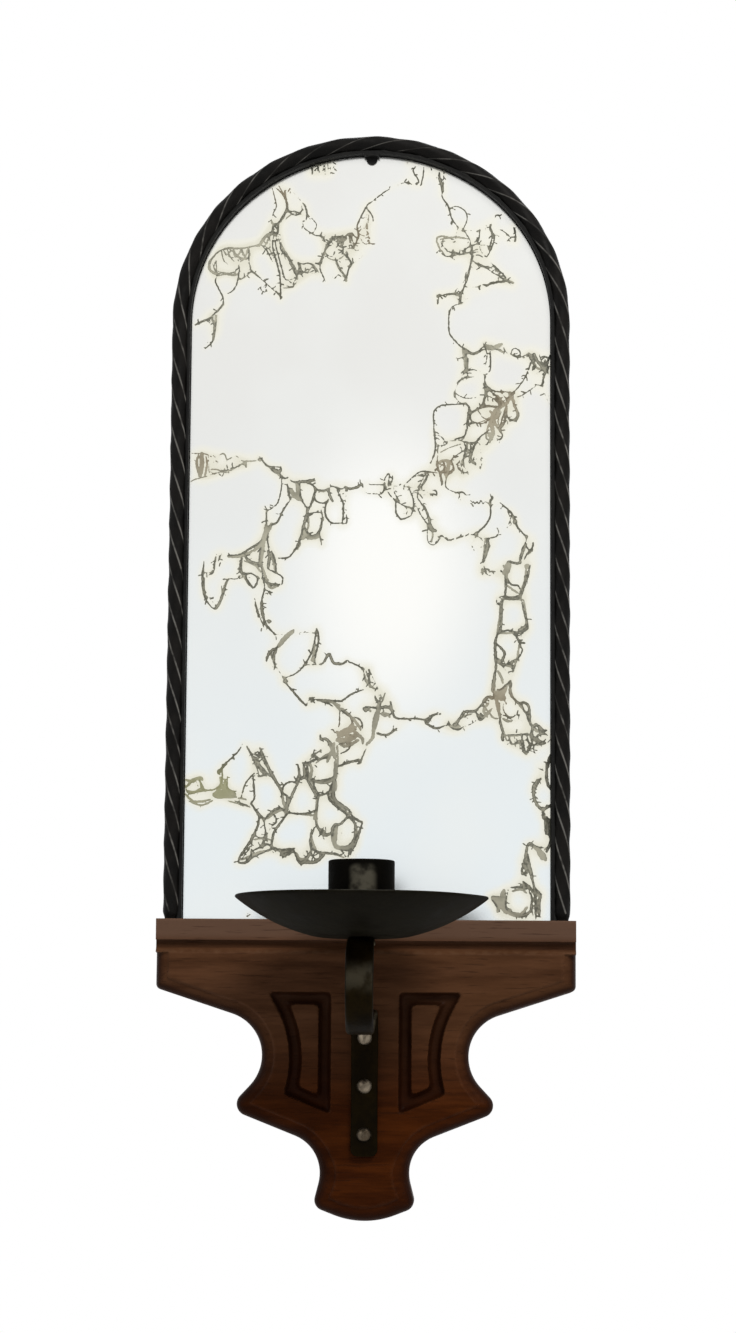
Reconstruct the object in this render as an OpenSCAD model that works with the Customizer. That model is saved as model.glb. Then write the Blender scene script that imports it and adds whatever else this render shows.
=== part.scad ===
// Mirrored candle sconce for a wall: an arched mirror in a shallow sheet tray, edged with one twisted
// iron bar whose ends stand in a carved wooden bracket. A bent strap on the bracket carries a dished
// drip pan and a candle cup. +X is right, the front faces -Y, the wall is the plane y = 0, +Z is up,
// and the origin is the centre of the hanging hole on the wall plane.

/* [Frame] */
// Width over the twisted bar
frame_w = 174.2; // [150:1:210]
// Height of the arch above the bracket's top edge
frame_h = 345.2; // [300:5:420]
// How much lower the arch is than a half circle
arch_flat = 3.2; // [2:0.1:3.6]
// Distance from the middle to the centre of each haunch
haunch_x = 5.1; // [4.8:0.1:9]

/* [Twisted bar] */
// Diameter over the bar's ridges
bar_d = 7.2; // [5:0.1:9]
// Depth of the hollow between two ridges
bar_hollow = 0.3; // [0.2:0.05:0.8]
// Length of one full turn of the twist
bar_pitch = 63; // [40:1:90]
// Diameter of the tenon at each end of the bar
tenon_d = 5.2; // [3.5:0.1:5.4]
// Depth of each tenon in the wood
tenon_depth = 12; // [6:1:20]
// Height of the bar's shoulder above the wood
shoulder_h = 2; // [0.5:0.5:6]
// Distance from the wall to the bar's centre
bar_out = 12; // [11.5:0.5:13]

/* [Tray and glass] */
// Thickness of the tray's sheet
sheet_t = 1; // [0.8:0.1:1.2]
// Distance from the wall to the back of the tray
tray_out = 4; // [3.5:0.1:4.5]
// Thickness of the mirror glass
glass_t = 3; // [2:0.5:3.5]
// Thickness of the backing board
backing_t = 2; // [1:0.5:2.5]
// Depth of the rim in front of the glass
rim_lip = 4; // [2:0.5:5]
// How far the glass reaches down behind the wood
glass_tuck = 7; // [4:0.5:8]
// How far the tray's flange reaches down behind the wood
flange_drop = 26; // [22:1:32]
// Play between the glass and the rim
glass_play = 0.4; // [0.2:0.1:1]
// Width of the clip at its root
clip_w = 6.6; // [5:0.1:9]
// Width of the clip at its tip
clip_tip_w = 4.8; // [3:0.1:5]
// How far the clip reaches over the glass
clip_reach = 4.2; // [3:0.1:7]

/* [Wooden bracket] */
// Width of the bracket
bracket_w = 178.3; // [176:0.1:220]
// Thickness of the bracket
bracket_t = 19; // [18:0.5:24]
// Width of the moulded edge
edge_w = 4.8; // [2:0.2:6]
// Depth of the moulded edge
edge_depth = 6; // [3:0.5:8]
// Height of the plain band above the groove
band_h = 8.9; // [6:0.1:12]
// Height of the groove, without its sloping side
groove_h = 3.3; // [2:0.1:4]
// Height of the groove's sloping side
groove_slope_h = 2.3; // [1:0.1:3]
// Depth of the groove
groove_depth = 2.4; // [1:0.1:3]
// Width of the channel round each panel
channel_w = 5.5; // [4:0.5:6.5]
// Depth of the channel round each panel
channel_depth = 3.4; // [1:0.1:5]

/* [Arm] */
// Width of the strap
strap_w = 12; // [10:0.5:15]
// Thickness of the strap
strap_t = 3; // [2:0.25:4]
// Distance from the bracket's face to the centre of the pan
arm_reach = 62; // [58:1:80]
// Height of the strap's lower end below the wood's top edge
strap_foot = 99.3; // [97:0.1:104]
// Radius of the strap's round bend, at mid thickness
crook_r = 18; // [15:0.5:19]
// Radius of the small bend next to the wood, at mid thickness
heel_r = 5.5; // [4:0.5:7]
// Overhang of the round bend past the centre of the pan
crook_out = 4.5; // [2:0.5:8]
// Length of the strap behind the rivet
strap_tail = 15; // [10:1:18]
// Height of the uppermost screw below the wood's top edge
screw_top = 49.8; // [49:0.1:52]
// Distance between the screws
screw_pitch = 20.2; // [15:0.1:21]
// Diameter of the screw heads
screw_head_d = 6.2; // [5:0.1:7]
// Height of the screw heads
screw_head_h = 2.3; // [1.5:0.1:3]
// Diameter of the screw shanks
screw_d = 3.5; // [2.5:0.1:4]
// Length of the strap's screws under the head
screw_len = 16; // [10:1:19]
// Length of the flange's screws under the head
flange_screw_len = 10; // [7:1:12]
// Distance between the flange's screws
flange_screw_pitch = 60; // [40:1:68]

/* [Pan and cup] */
// Diameter of the drip pan
pan_d = 102.8; // [90:0.1:112]
// Depth of the drip pan
pan_depth = 15.5; // [12:0.5:20]
// Diameter of the pan's flat seat
pan_seat_d = 28; // [27.5:0.5:34]
// Height of the pan's underside below the wood's top edge
pan_drop = 10.5; // [9:0.5:12]
// Thickness of the pan's sheet
pan_t = 1.2; // [0.8:0.1:2]
// Slope of the pan's lower wall, in degrees
pan_toe_angle = 14; // [8:1:20]
// Inner diameter of the candle cup
cup_bore = 24.6; // [21:0.1:25]
// Wall of the candle cup
cup_wall = 1.2; // [0.8:0.1:1.2]
// Height of the candle cup
cup_h = 29.9; // [20:0.1:50]
// Thickness of the cup's floor
cup_floor = 2; // [1.6:0.1:3]
// Diameter of the rivet through cup, pan and strap
rivet_d = 5; // [3:0.5:6]

/* [Hanger] */
// Distance of the hanging hole below the top of the arch
hang_drop = 30.2; // [24:0.1:90]
// Diameter of the hanging hole
hang_d = 9; // [7:0.5:10]
// Width of the slot above the hanging hole
slot_w = 4.4; // [3:0.2:5]
// Length of the hanger plate
hanger_l = 52; // [48:1:60]
// Height of the hanger plate
hanger_h = 24; // [20:1:30]
// Thickness of the hanger plate
hanger_t = 1.2; // [0.8:0.1:1.4]

/* [Hidden] */
$fn = 96;

// Clearances between pieces
weld_gap = 0.05;
wood_play = 0.2;
pocket_play = 0.6;
pin_play = 0.05;
over = 1;
joint = 0.05;

// Arch: two haunch arcs that meet the legs, and one crown arc that meets both
half_w = frame_w / 2;
haunch_r = half_w - haunch_x;
arch_rise = half_w - arch_flat;
spring_z = frame_h - arch_rise;
haunch_lift = arch_rise - haunch_r;
crown_dip = (haunch_x * haunch_x - haunch_lift * haunch_lift) / (2 * haunch_lift);
crown_z = spring_z - crown_dip;
crown_r = arch_rise + crown_dip;
crown_angle = atan2(crown_dip, haunch_x);

// Insets of the nested pieces from the outside of the bar
tray_inset = bar_d + weld_gap;
glass_inset = tray_inset + sheet_t + glass_play;

// Distances from the wall, back to front
backing_out = tray_out + sheet_t;
glass_out = backing_out + backing_t;
glass_front = glass_out + glass_t;
rim_front = glass_front + rim_lip;

// Bracket outline, right half: corners below the top edge and the radius that rounds each one
side_corner = [bracket_w / 2, -29.3];
upper_waist = [29, -48.9];
ear_tip = [57.9, -79.8];
lower_waist = [15.7, -96.4];
chin_corner = [21.8, -120.4];
chin = [0, -128.8];
corner_r = 2.5;
upper_waist_r = 18.4;
ear_r = 5;
lower_waist_r = 16.6;
chin_corner_r = 4.5;
chin_r = 36;

// Panels: straight inner side, level top, sloping foot and a hollow outer side
panel_in = 14.2;
panel_top = -30.5;
panel_foot = -82;
panel_foot_slope = 0.42;
panel_foot_angle = atan(panel_foot_slope);
panel_side = [76.8, -58.9];
panel_side_r = 44.8;
panel_out = 41;

// Arm
arm_out = bracket_t + arm_reach;
strap_mid = bracket_t + strap_t / 2;
crook_u = arm_out + crook_out;
crook_z = -pan_drop - strap_t / 2 - crook_r;
heel_u = strap_mid + heel_r;
heel_clear = 1.7;
heel_z = -screw_top + screw_head_d / 2 + heel_clear;
span = [crook_u - heel_u, crook_z - heel_z];
slant = atan2(span.y, span.x) - asin((heel_r + crook_r) / norm(span));
heel_steps = 10;
crook_steps = 24;
strap_foot_r = 3;

// Pan and cup heights
pan_floor_z = pan_t - pan_drop;
rivet_head_r = rivet_d / 2 + 1.5;
rivet_head_h = 1.5;
rivet_tail_r = rivet_d / 2 + 2;
rivet_tail_h = 2;

// Hanger
hang_h = frame_h - hang_drop;
hanger_foot_l = 8;
hanger_rivet_d = 3;
hanger_rivet_head_r = 2.9;
hanger_rivet_head_h = 1.2;
hanger_rivet_x = hanger_l / 2 - hanger_foot_l / 2;
hanger_step_l = 3;
slot_rise = 9;

// Colours
black_iron = [0.10, 0.10, 0.10];
olive_iron = [0.16, 0.16, 0.13];
steel = [0.75, 0.74, 0.70];
mahogany = [0.42, 0.20, 0.10];
silvered = [0.82, 0.86, 0.87];
card = [0.55, 0.45, 0.32];

// Points on an arc, from angle a0 to a1 in n steps
function arc_points(c, r, a0, a1, n) =
    [for (i = [0:n]) let (a = a0 + (a1 - a0) * i / n) c + r * [cos(a), sin(a)]];

// Unit vector from p to q
function toward(p, q) = (q - p) / norm(q - p);

// Points that round the corner b between a and c with radius r in n steps, moved by an inset to the left
// of the way from a to c. A corner too tight for the inset keeps a small radius on its mitre.
function rounded_corner(a, b, c, r, n, inset = 0) =
    let (u = toward(b, a), v = toward(b, c),
         half = acos(u * v) / 2,
         bisector = (u + v) / norm(u + v),
         start = b + r / tan(half) * u - (b + r / sin(half) * bisector),
         a0 = atan2(start.y, start.x),
         left_turn = u.y * v.x - u.x * v.y > 0,
         turn = (left_turn ? 1 : -1) * (180 - 2 * half),
         inset_r = left_turn ? r - inset : r + inset,
         kept_r = max(inset_r, mitre_r))
    arc_points(b + (r + kept_r - inset_r) / sin(half) * bisector, kept_r, a0, a0 + turn, n);

// Bracket outline for an inset, anticlockwise seen from the front, starting at the top left. The level
// top edge and the sides above the groove's foot take no inset.
mitre_r = 0.15;
groove_foot = band_h + groove_h + groove_slope_h;
right_corners = [chin, chin_corner, lower_waist, ear_tip, upper_waist, side_corner, [bracket_w / 2, 0]];
right_radii = [chin_r, chin_corner_r, lower_waist_r, ear_r, upper_waist_r, corner_r];
right_steps = [10, 4, 10, 6, 12, 4];

function mirror_x(p) = [-p.x, p.y];
function right_side(inset) = [
    for (i = [1:5]) each rounded_corner(right_corners[i - 1], right_corners[i], right_corners[i + 1],
                                        right_radii[i], right_steps[i], inset),
    [bracket_w / 2 - inset, -groove_foot],
    [bracket_w / 2, groove_slope_h - groove_foot],
    [bracket_w / 2, 0]];
function bracket_outline(inset) =
    let (right = right_side(inset))
    concat([for (i = [len(right) - 1:-1:0]) mirror_x(right[i])],
           rounded_corner(mirror_x(chin_corner), chin, chin_corner, chin_r, right_steps[0], inset),
           right);

// Moulded edge, from the side to the face: share of its width and of its depth
edge_profile = [[0, 1], [0.12, 0.62], [0.35, 0.34], [0.65, 0.18], [0.94, 0.14], [1, 0]];

// A plate parallel to the wall between two distances from it, cut to a drawn face outline
module plate(from, to) {
    translate([0, -from, 0]) rotate([90, 0, 0]) linear_extrude(to - from) children();
}

// A bar along X whose section is drawn with the distance from the wall to the right and Z up
module side_profile(w) {
    rotate([90, 0, -90]) linear_extrude(w, center = true) children();
}

// A solid of revolution about the cup's upright axis
module on_cup_axis() {
    translate([0, -arm_out, 0]) children();
}

// The arch, drawn inside the outside of the bar by an inset, with its level foot at a height
module arch_face(inset, foot) {
    reach = crown_r * 2;
    translate([inset - half_w, foot]) square([frame_w - 2 * inset, spring_z - foot]);
    for (s = [-1, 1]) translate([s * haunch_x, spring_z]) circle(haunch_r - inset, $fn = 180);
    intersection() {
        translate([0, crown_z]) circle(crown_r - inset, $fn = 180);
        translate([0, crown_z])
            polygon([[0, 0], reach * [cos(crown_angle), sin(crown_angle)], [0, 2 * reach],
                     reach * [-cos(crown_angle), sin(crown_angle)]]);
    }
}

// Wooden board with its moulded edge. Each cap is a ladder of level strips between the mirrored sides.
module bracket_board() {
    back = bracket_outline(0);
    n = len(back);
    half = (n - 1) / 2;
    rings = len(edge_profile);
    points = concat(
        [for (p = back) [p.x, 0, p.y]],
        [for (k = edge_profile, p = bracket_outline(k[0] * edge_w))
            [p.x, k[1] * edge_depth - bracket_t, p.y]]);
    sides = [for (k = [0:rings - 1], i = [0:n - 1]) let (j = (i + 1) % n)
        each [[k * n + i, (k + 1) * n + j, k * n + j], [k * n + i, (k + 1) * n + i, (k + 1) * n + j]]];
    function ladder(first, flip) = [for (i = [0:half - 1])
        let (a = first + i, b = first + i + 1, c = first + n - 2 - i, d = first + n - 1 - i)
        each i == half - 1 ? [flip ? [a, d, b] : [a, b, d]]
                           : flip ? [[a, d, c], [a, c, b]] : [[a, b, c], [a, c, d]]];
    polyhedron(points, concat(ladder(0, false), sides, ladder(rings * n, true)), convexity = 6);
}

// Outline of one panel, shrunk by an inset
module panel_face(inset) {
    run = panel_out - panel_in;
    foot = panel_foot + inset / cos(panel_foot_angle);
    difference() {
        polygon([[panel_in + inset, panel_top - inset], [panel_out, panel_top - inset],
                 [panel_out, foot + run * panel_foot_slope],
                 [panel_in + inset, foot + inset * panel_foot_slope]]);
        translate(panel_side) circle(panel_side_r + inset, $fn = 180);
    }
}

module wood_bracket() {
    pocket_half = half_w - glass_inset + pocket_play;
    color(mahogany) difference() {
        bracket_board();
        // Groove across the face, square above and sloping below
        side_profile(bracket_w + 2 * over)
            polygon([[bracket_t + over, -band_h], [bracket_t - groove_depth, -band_h],
                     [bracket_t - groove_depth, groove_slope_h - groove_foot],
                     [bracket_t, -groove_foot], [bracket_t + over, -groove_foot]]);
        // Channels that leave a raised panel on each side of the strap
        for (s = [0, 1]) mirror([s, 0, 0])
            plate(bracket_t - channel_depth, bracket_t + over) difference() {
                panel_face(0);
                panel_face(channel_w);
            }
        // Rebates for the glass and for the tray's flange, cut from the back
        plate(-over, glass_front + wood_play)
            translate([-pocket_half, -glass_tuck - wood_play])
                square([2 * pocket_half, glass_tuck + wood_play + over]);
        plate(-over, backing_out)
            translate([-pocket_half, -flange_drop - wood_play])
                square([2 * pocket_half, flange_drop + over]);
        // Holes for the bar's tenons
        for (s = [-1, 1]) translate([s * (half_w - bar_d / 2), -bar_out, -tenon_depth - wood_play])
            cylinder(h = tenon_depth + wood_play + over, d = tenon_d + 2 * pin_play);
        // Holes for the screws
        for (i = [0:2]) translate([0, -bracket_t - over, -screw_top - i * screw_pitch])
            rotate([-90, 0, 0])
                cylinder(h = screw_len - strap_t + wood_play + over, d = screw_d + 2 * pin_play);
        for (i = [-1:1]) translate([i * flange_screw_pitch, over, flange_screw_z])
            rotate([90, 0, 0])
                cylinder(h = over + tray_out + flange_screw_len + wood_play, d = screw_d + 2 * pin_play);
    }
}

// Height of the flange's screws
flange_screw_z = -(glass_tuck + flange_drop) / 2 - wood_play;

// Path of the bar's centre line from the left foot, over the arch, to the right foot
path_haunch_r = haunch_r - bar_d / 2;
path_crown_r = crown_r - bar_d / 2;
leg_l = spring_z - shoulder_h;
haunch_l = path_haunch_r * crown_angle * PI / 180;
crown_l = path_crown_r * (180 - 2 * crown_angle) * PI / 180;
path_l = 2 * leg_l + 2 * haunch_l + crown_l;

// Place on the path at length s: [x, z, angle of the outward normal]
function on_path(s) =
    let (x0 = half_w - bar_d / 2)
    s < leg_l ? [-x0, shoulder_h + s, 180]
    : s < leg_l + haunch_l
        ? let (a = 180 - (s - leg_l) / path_haunch_r * 180 / PI)
          [path_haunch_r * cos(a) - haunch_x, spring_z + path_haunch_r * sin(a), a]
    : s < leg_l + haunch_l + crown_l
        ? let (a = 180 - crown_angle - (s - leg_l - haunch_l) / path_crown_r * 180 / PI)
          [path_crown_r * cos(a), crown_z + path_crown_r * sin(a), a]
    : s < path_l - leg_l
        ? let (a = (path_l - leg_l - s) / path_haunch_r * 180 / PI)
          [path_haunch_r * cos(a) + haunch_x, spring_z + path_haunch_r * sin(a), a]
    : [x0, shoulder_h + path_l - s, 0];

// Twisted bar: a square with soft sides, turned left-handed as it runs
bar_sides = 16;
rings_per_turn = 16;
ridge_power = 1.3;

module twisted_bar() {
    n = ceil(path_l / bar_pitch * rings_per_turn);
    points = [for (k = [0:n], j = [0:bar_sides - 1])
        let (s = path_l * k / n, p = on_path(s),
             a = 360 * j / bar_sides - 360 * s / bar_pitch,
             r = bar_d / 2 - bar_hollow * pow(abs(sin(720 * j / bar_sides)), ridge_power),
             out = r * cos(a), front = r * sin(a))
        [p[0] + out * cos(p[2]), -bar_out - front, p[1] + out * sin(p[2])]];
    sides = [for (k = [0:n - 1], j = [0:bar_sides - 1])
        let (i = (j + 1) % bar_sides, low = k * bar_sides, high = low + bar_sides)
        each [[low + j, high + j, high + i], [low + j, high + i, low + i]]];
    ends = [[for (j = [0:bar_sides - 1]) j],
            [for (j = [0:bar_sides - 1]) (n + 1) * bar_sides - 1 - j]];
    polyhedron(points, concat(sides, ends), convexity = 8);
}

module frame_bar() {
    color(black_iron) {
        twisted_bar();
        for (s = [-1, 1]) translate([s * (half_w - bar_d / 2), -bar_out, -tenon_depth])
            cylinder(h = tenon_depth + shoulder_h + bar_d, d = tenon_d);
    }
}

// Shallow arched tray with a turned-up rim and a flange that screws to the back of the wood
module mirror_tray() {
    flange_half = half_w - glass_inset;
    color(black_iron) difference() {
        union() {
            plate(tray_out, backing_out) {
                arch_face(tray_inset, wood_play);
                translate([-flange_half, -flange_drop]) square([2 * flange_half, flange_drop + over]);
            }
            plate(tray_out, rim_front) difference() {
                arch_face(tray_inset, wood_play);
                arch_face(tray_inset + sheet_t, wood_play - over);
            }
        }
        for (i = [-1:1]) translate([i * flange_screw_pitch, over, flange_screw_z])
            rotate([90, 0, 0]) cylinder(h = backing_out + 2 * over, d = screw_d + 2 * pin_play);
        for (s = [-1, 1]) translate([s * hanger_rivet_x, over, hang_h])
            rotate([90, 0, 0]) cylinder(h = backing_out + 2 * over, d = hanger_rivet_d + 2 * pin_play);
    }
}

module mirror_glass() {
    color(silvered) plate(glass_out, glass_front) arch_face(glass_inset, -glass_tuck);
}

module backing_board() {
    color(card) plate(backing_out, glass_out) arch_face(glass_inset + glass_play, -glass_tuck);
}

// Small angle at the crown: one leg on the rim, one tapered tongue on the glass
module glass_clip() {
    root_z = frame_h - tray_inset - sheet_t;
    tip_z = root_z - clip_reach + clip_tip_w / 2;
    color(black_iron) {
        plate(glass_front, rim_front) intersection() {
            difference() {
                arch_face(tray_inset + sheet_t, spring_z - over);
                arch_face(tray_inset + 2 * sheet_t, spring_z - 2 * over);
            }
            translate([-clip_w / 2, spring_z]) square([clip_w, arch_rise]);
        }
        plate(glass_front, glass_front + sheet_t) intersection() {
            arch_face(tray_inset + sheet_t, spring_z - over);
            union() {
                polygon([[-clip_w / 2, root_z + over], [-clip_tip_w / 2, tip_z],
                         [clip_tip_w / 2, tip_z], [clip_w / 2, root_z + over]]);
                translate([0, tip_z]) circle(d = clip_tip_w, $fn = 48);
            }
        }
    }
}

// One side of the strap seen from the side, moved to the left of the way up from its foot: up the wood,
// out over the heel, down the slant, round the crook and back over the pan's seat
function strap_side(shift) = concat(
    [[strap_mid - shift, -strap_foot]],
    arc_points([heel_u, heel_z], heel_r + shift, 180, 90 + slant, heel_steps),
    arc_points([crook_u, crook_z], crook_r - shift, slant - 90, 90, crook_steps),
    [[arm_out - strap_tail, crook_z + crook_r - shift]]);

module strap_profile() {
    near = strap_side(strap_t / 2);
    far = strap_side(-strap_t / 2);
    polygon(concat(near, [for (i = [len(far) - 1:-1:0]) far[i]]));
}

module arm_strap() {
    foot_half = strap_w / 2 - strap_foot_r;
    color(black_iron) difference() {
        side_profile(strap_w) strap_profile();
        // Rounded corners at the lower end
        for (s = [0, 1]) mirror([s, 0, 0]) plate(bracket_t - over, bracket_t + strap_t + over)
            difference() {
                translate([foot_half, -strap_foot - over]) square(strap_foot_r + over);
                translate([foot_half, -strap_foot + strap_foot_r]) circle(strap_foot_r, $fn = 48);
            }
        for (i = [0:2]) translate([0, -bracket_t + over, -screw_top - i * screw_pitch])
            rotate([90, 0, 0]) cylinder(h = strap_t + 2 * over, d = screw_d + 2 * pin_play);
        on_cup_axis() translate([0, 0, -pan_drop - strap_t - over])
            cylinder(h = strap_t + 2 * over, d = rivet_d + 2 * pin_play);
    }
}

// Spherical cap of base radius r and height h, standing on the plane z = 0
module dome(r, h) {
    ball_r = (r * r + h * h) / (2 * h);
    intersection() {
        translate([0, 0, h - ball_r]) sphere(ball_r, $fn = 48);
        cylinder(h = h + over, r = r + over);
    }
}

// Slotted round-head screw along +Z, its head's underside at z = 0 and its slot turned by an angle
module round_screw(length, slot_angle) {
    tip_l = screw_d;
    slot_w = 1;
    difference() {
        dome(screw_head_d / 2, screw_head_h);
        rotate(slot_angle) translate([-screw_head_d, -slot_w / 2, screw_head_h * 0.6])
            cube([2 * screw_head_d, slot_w, screw_head_h]);
    }
    translate([0, 0, tip_l - length]) cylinder(h = length - tip_l + joint, d = screw_d);
    translate([0, 0, -length]) cylinder(h = tip_l, d1 = screw_d / 5, d2 = screw_d);
}

module arm_screws() {
    slot_angles = [80, 35, 60];
    color(steel) for (i = [0:2])
        translate([0, -bracket_t - strap_t, -screw_top - i * screw_pitch])
            rotate([90, 0, 0]) round_screw(screw_len, slot_angles[i]);
}

module flange_screws() {
    slot_angles = [20, 75, 130];
    color(steel) for (i = [-1:1])
        translate([i * flange_screw_pitch, -tray_out, flange_screw_z])
            rotate([-90, 0, 0]) round_screw(flange_screw_len, slot_angles[i + 1]);
}

// Half section of the pan's underside, from the seat's edge to the rim, moved inward by a thickness
function pan_curve(t) =
    let (seat = pan_seat_d / 2, toe_r = 30,
         toe_mid = [seat, toe_r],
         toe_end = toe_mid + toe_r * [sin(pan_toe_angle), -cos(pan_toe_angle)],
         rim = [pan_d / 2, pan_depth],
         chord = atan2(rim.y - toe_end.y, rim.x - toe_end.x),
         wall_r = norm(rim - toe_end) / (2 * sin(chord - pan_toe_angle)),
         wall_mid = toe_end + wall_r * [-sin(pan_toe_angle), cos(pan_toe_angle)],
         rim_angle = 2 * chord - pan_toe_angle)
    concat(arc_points(toe_mid, toe_r - t, -90, pan_toe_angle - 90, 3),
           arc_points(wall_mid, wall_r - t, pan_toe_angle - 88, rim_angle - 90, 10));

module drip_pan() {
    under = pan_curve(0);
    top = pan_curve(pan_t);
    color(olive_iron) on_cup_axis() translate([0, 0, -pan_drop]) difference() {
        rotate_extrude($fn = 144) polygon(concat([[0, 0]], under,
            [for (i = [len(top) - 1:-1:0]) top[i]], [[0, pan_t]]));
        translate([0, 0, -over]) cylinder(h = pan_t + 2 * over, d = rivet_d + 2 * pin_play);
    }
}

module candle_cup() {
    cup_r = cup_bore / 2;
    color(black_iron) on_cup_axis() translate([0, 0, pan_floor_z]) difference() {
        cylinder(h = cup_h, r = cup_r + cup_wall);
        translate([0, 0, cup_floor]) cylinder(h = cup_h, r = cup_r);
        translate([0, 0, -over]) cylinder(h = cup_floor + 2 * over, d = rivet_d + 2 * pin_play);
        translate([0, 0, cup_floor - rivet_head_h])
            cylinder(h = rivet_head_h + over, r = rivet_head_r + pin_play);
    }
}

// Rivet with a flush head in the cup's floor and a domed tail under the strap
module cup_rivet() {
    head_z = pan_floor_z + cup_floor;
    tail_z = -pan_drop - strap_t;
    color(black_iron) on_cup_axis() {
        translate([0, 0, head_z - rivet_head_h]) cylinder(h = rivet_head_h, r = rivet_head_r);
        translate([0, 0, tail_z - joint])
            cylinder(h = head_z - rivet_head_h - tail_z + 2 * joint, d = rivet_d);
        translate([0, 0, tail_z]) mirror([0, 0, 1]) dome(rivet_tail_r, rivet_tail_h);
    }
}

// Bridge plate on the tray's back: two feet on the sheet, the middle on the wall plane
module hanger_plate() {
    half = hanger_l / 2;
    middle = half - hanger_foot_l - hanger_step_l;
    slot_end = hang_h + slot_rise - slot_w / 2;
    color(black_iron) difference() {
        translate([0, 0, hang_h - hanger_h / 2]) mirror([0, 1, 0]) linear_extrude(hanger_h)
            polygon([[-half, tray_out], [-half, tray_out - hanger_t],
                     [hanger_foot_l - half, tray_out - hanger_t], [-middle, 0], [middle, 0],
                     [half - hanger_foot_l, tray_out - hanger_t], [half, tray_out - hanger_t],
                     [half, tray_out], [half - hanger_foot_l - hanger_t / 2, tray_out],
                     [middle - hanger_t / 2, hanger_t], [hanger_t / 2 - middle, hanger_t],
                     [hanger_foot_l + hanger_t / 2 - half, tray_out]]);
        plate(-over, hanger_t + over) {
            translate([0, hang_h]) circle(d = hang_d);
            translate([-slot_w / 2, hang_h]) square([slot_w, slot_end - hang_h]);
            translate([0, slot_end]) circle(d = slot_w, $fn = 48);
        }
        for (s = [-1, 1]) translate([s * hanger_rivet_x, over, hang_h])
            rotate([90, 0, 0]) cylinder(h = tray_out + 2 * over, d = hanger_rivet_d + 2 * pin_play);
    }
}

module hanger_rivets() {
    head_out = tray_out - hanger_t;
    color(steel) for (s = [-1, 1]) translate([s * hanger_rivet_x, -head_out, hang_h]) {
        rotate([90, 0, 0]) translate([0, 0, -joint])
            cylinder(h = hanger_t + sheet_t + joint, d = hanger_rivet_d);
        rotate([-90, 0, 0]) dome(hanger_rivet_head_r, hanger_rivet_head_h);
    }
}

// Moves a piece from heights above the wood's top edge to heights above the hanging hole
module hung() {
    translate([0, 0, -hang_h]) children();
}

hung() wood_bracket();
hung() frame_bar();
hung() mirror_tray();
hung() mirror_glass();
hung() backing_board();
hung() glass_clip();
hung() arm_strap();
hung() arm_screws();
hung() drip_pan();
hung() candle_cup();
hung() cup_rivet();
hung() flange_screws();
hung() hanger_plate();
hung() hanger_rivets();
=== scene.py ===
# %% [markdown]
# # Mirrored candle sconce
#
# An arched mirror sits in a shallow sheet tray, and one twisted iron bar runs round it and stands in a
# carved wooden bracket. A bent strap on the bracket carries a dished drip pan and a candle cup.
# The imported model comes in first, as a fixed frame that says where each piece is. Lengths below are in
# millimetres, as on a drawing: to the right of the middle, out from the wall, and above the wood's top edge.

import bmesh
import bpy
import numpy as np
from mathutils import Matrix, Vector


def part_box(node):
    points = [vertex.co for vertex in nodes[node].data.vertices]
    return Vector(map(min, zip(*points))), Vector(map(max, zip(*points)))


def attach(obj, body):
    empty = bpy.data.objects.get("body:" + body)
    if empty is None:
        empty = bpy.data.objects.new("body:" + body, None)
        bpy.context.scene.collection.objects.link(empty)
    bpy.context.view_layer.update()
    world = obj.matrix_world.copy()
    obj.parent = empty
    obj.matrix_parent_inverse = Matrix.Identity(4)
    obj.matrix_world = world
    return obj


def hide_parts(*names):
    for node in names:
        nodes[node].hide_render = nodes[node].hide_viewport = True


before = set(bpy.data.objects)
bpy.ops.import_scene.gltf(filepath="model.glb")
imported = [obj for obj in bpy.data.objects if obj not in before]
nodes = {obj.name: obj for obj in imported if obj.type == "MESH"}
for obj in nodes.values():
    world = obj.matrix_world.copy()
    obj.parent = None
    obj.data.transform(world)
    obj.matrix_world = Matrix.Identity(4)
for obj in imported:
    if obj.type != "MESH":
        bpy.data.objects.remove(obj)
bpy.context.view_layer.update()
wood_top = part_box("wood_bracket")[1].z

# %% [markdown]
# ## Camera and light
#
# The sconce was pictured from a little to the right and from below its middle, with a long lens, so the
# camera looks up by some 8 degrees. The room is a plain white studio: the world is white where the camera,
# a mirror or a metal sees it, and gives a level, softer light to the surfaces themselves. Broad lamps
# above, beside and behind the object model its forms. The floor lies well below, because the piece hangs.

# %% Camera
scene = bpy.context.scene
scene.view_settings.view_transform = "Standard"
camera_at = (0.0376, -1.3186, -0.3807)
pitch, yaw, roll = np.radians([7.62, 1.65, 0.43])
ahead = np.array([-np.sin(yaw) * np.cos(pitch), np.cos(yaw) * np.cos(pitch), np.sin(pitch)])
level = np.cross(ahead, [0, 0, 1])
level /= np.linalg.norm(level)
upright = np.cross(level, ahead)
right = np.cos(roll) * level + np.sin(roll) * upright
above = np.cos(roll) * upright - np.sin(roll) * level
camera = bpy.data.objects.new("camera", bpy.data.cameras.new("camera"))
camera.matrix_world = Matrix(
    [[right[i], above[i], -ahead[i], camera_at[i]] for i in range(3)] + [[0, 0, 0, 1]]
)
camera.data.sensor_fit = "VERTICAL"
camera.data.sensor_height = 24
camera.data.lens = 55.08
scene.collection.objects.link(camera)
scene.camera = camera
print("camera at", [round(value, 3) for value in camera.matrix_world.translation])


# %% Nodes
def add_node(tree, kind, inputs=None, **settings):
    """A node with its settings and inputs: an input is a value or the socket that feeds it."""
    made = tree.nodes.new(kind)
    for name, value in settings.items():
        setattr(made, name, value)
    for name, value in (inputs or {}).items():
        if isinstance(value, bpy.types.NodeSocket):
            tree.links.new(value, made.inputs[name])
        else:
            made.inputs[name].default_value = value
    return made


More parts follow.
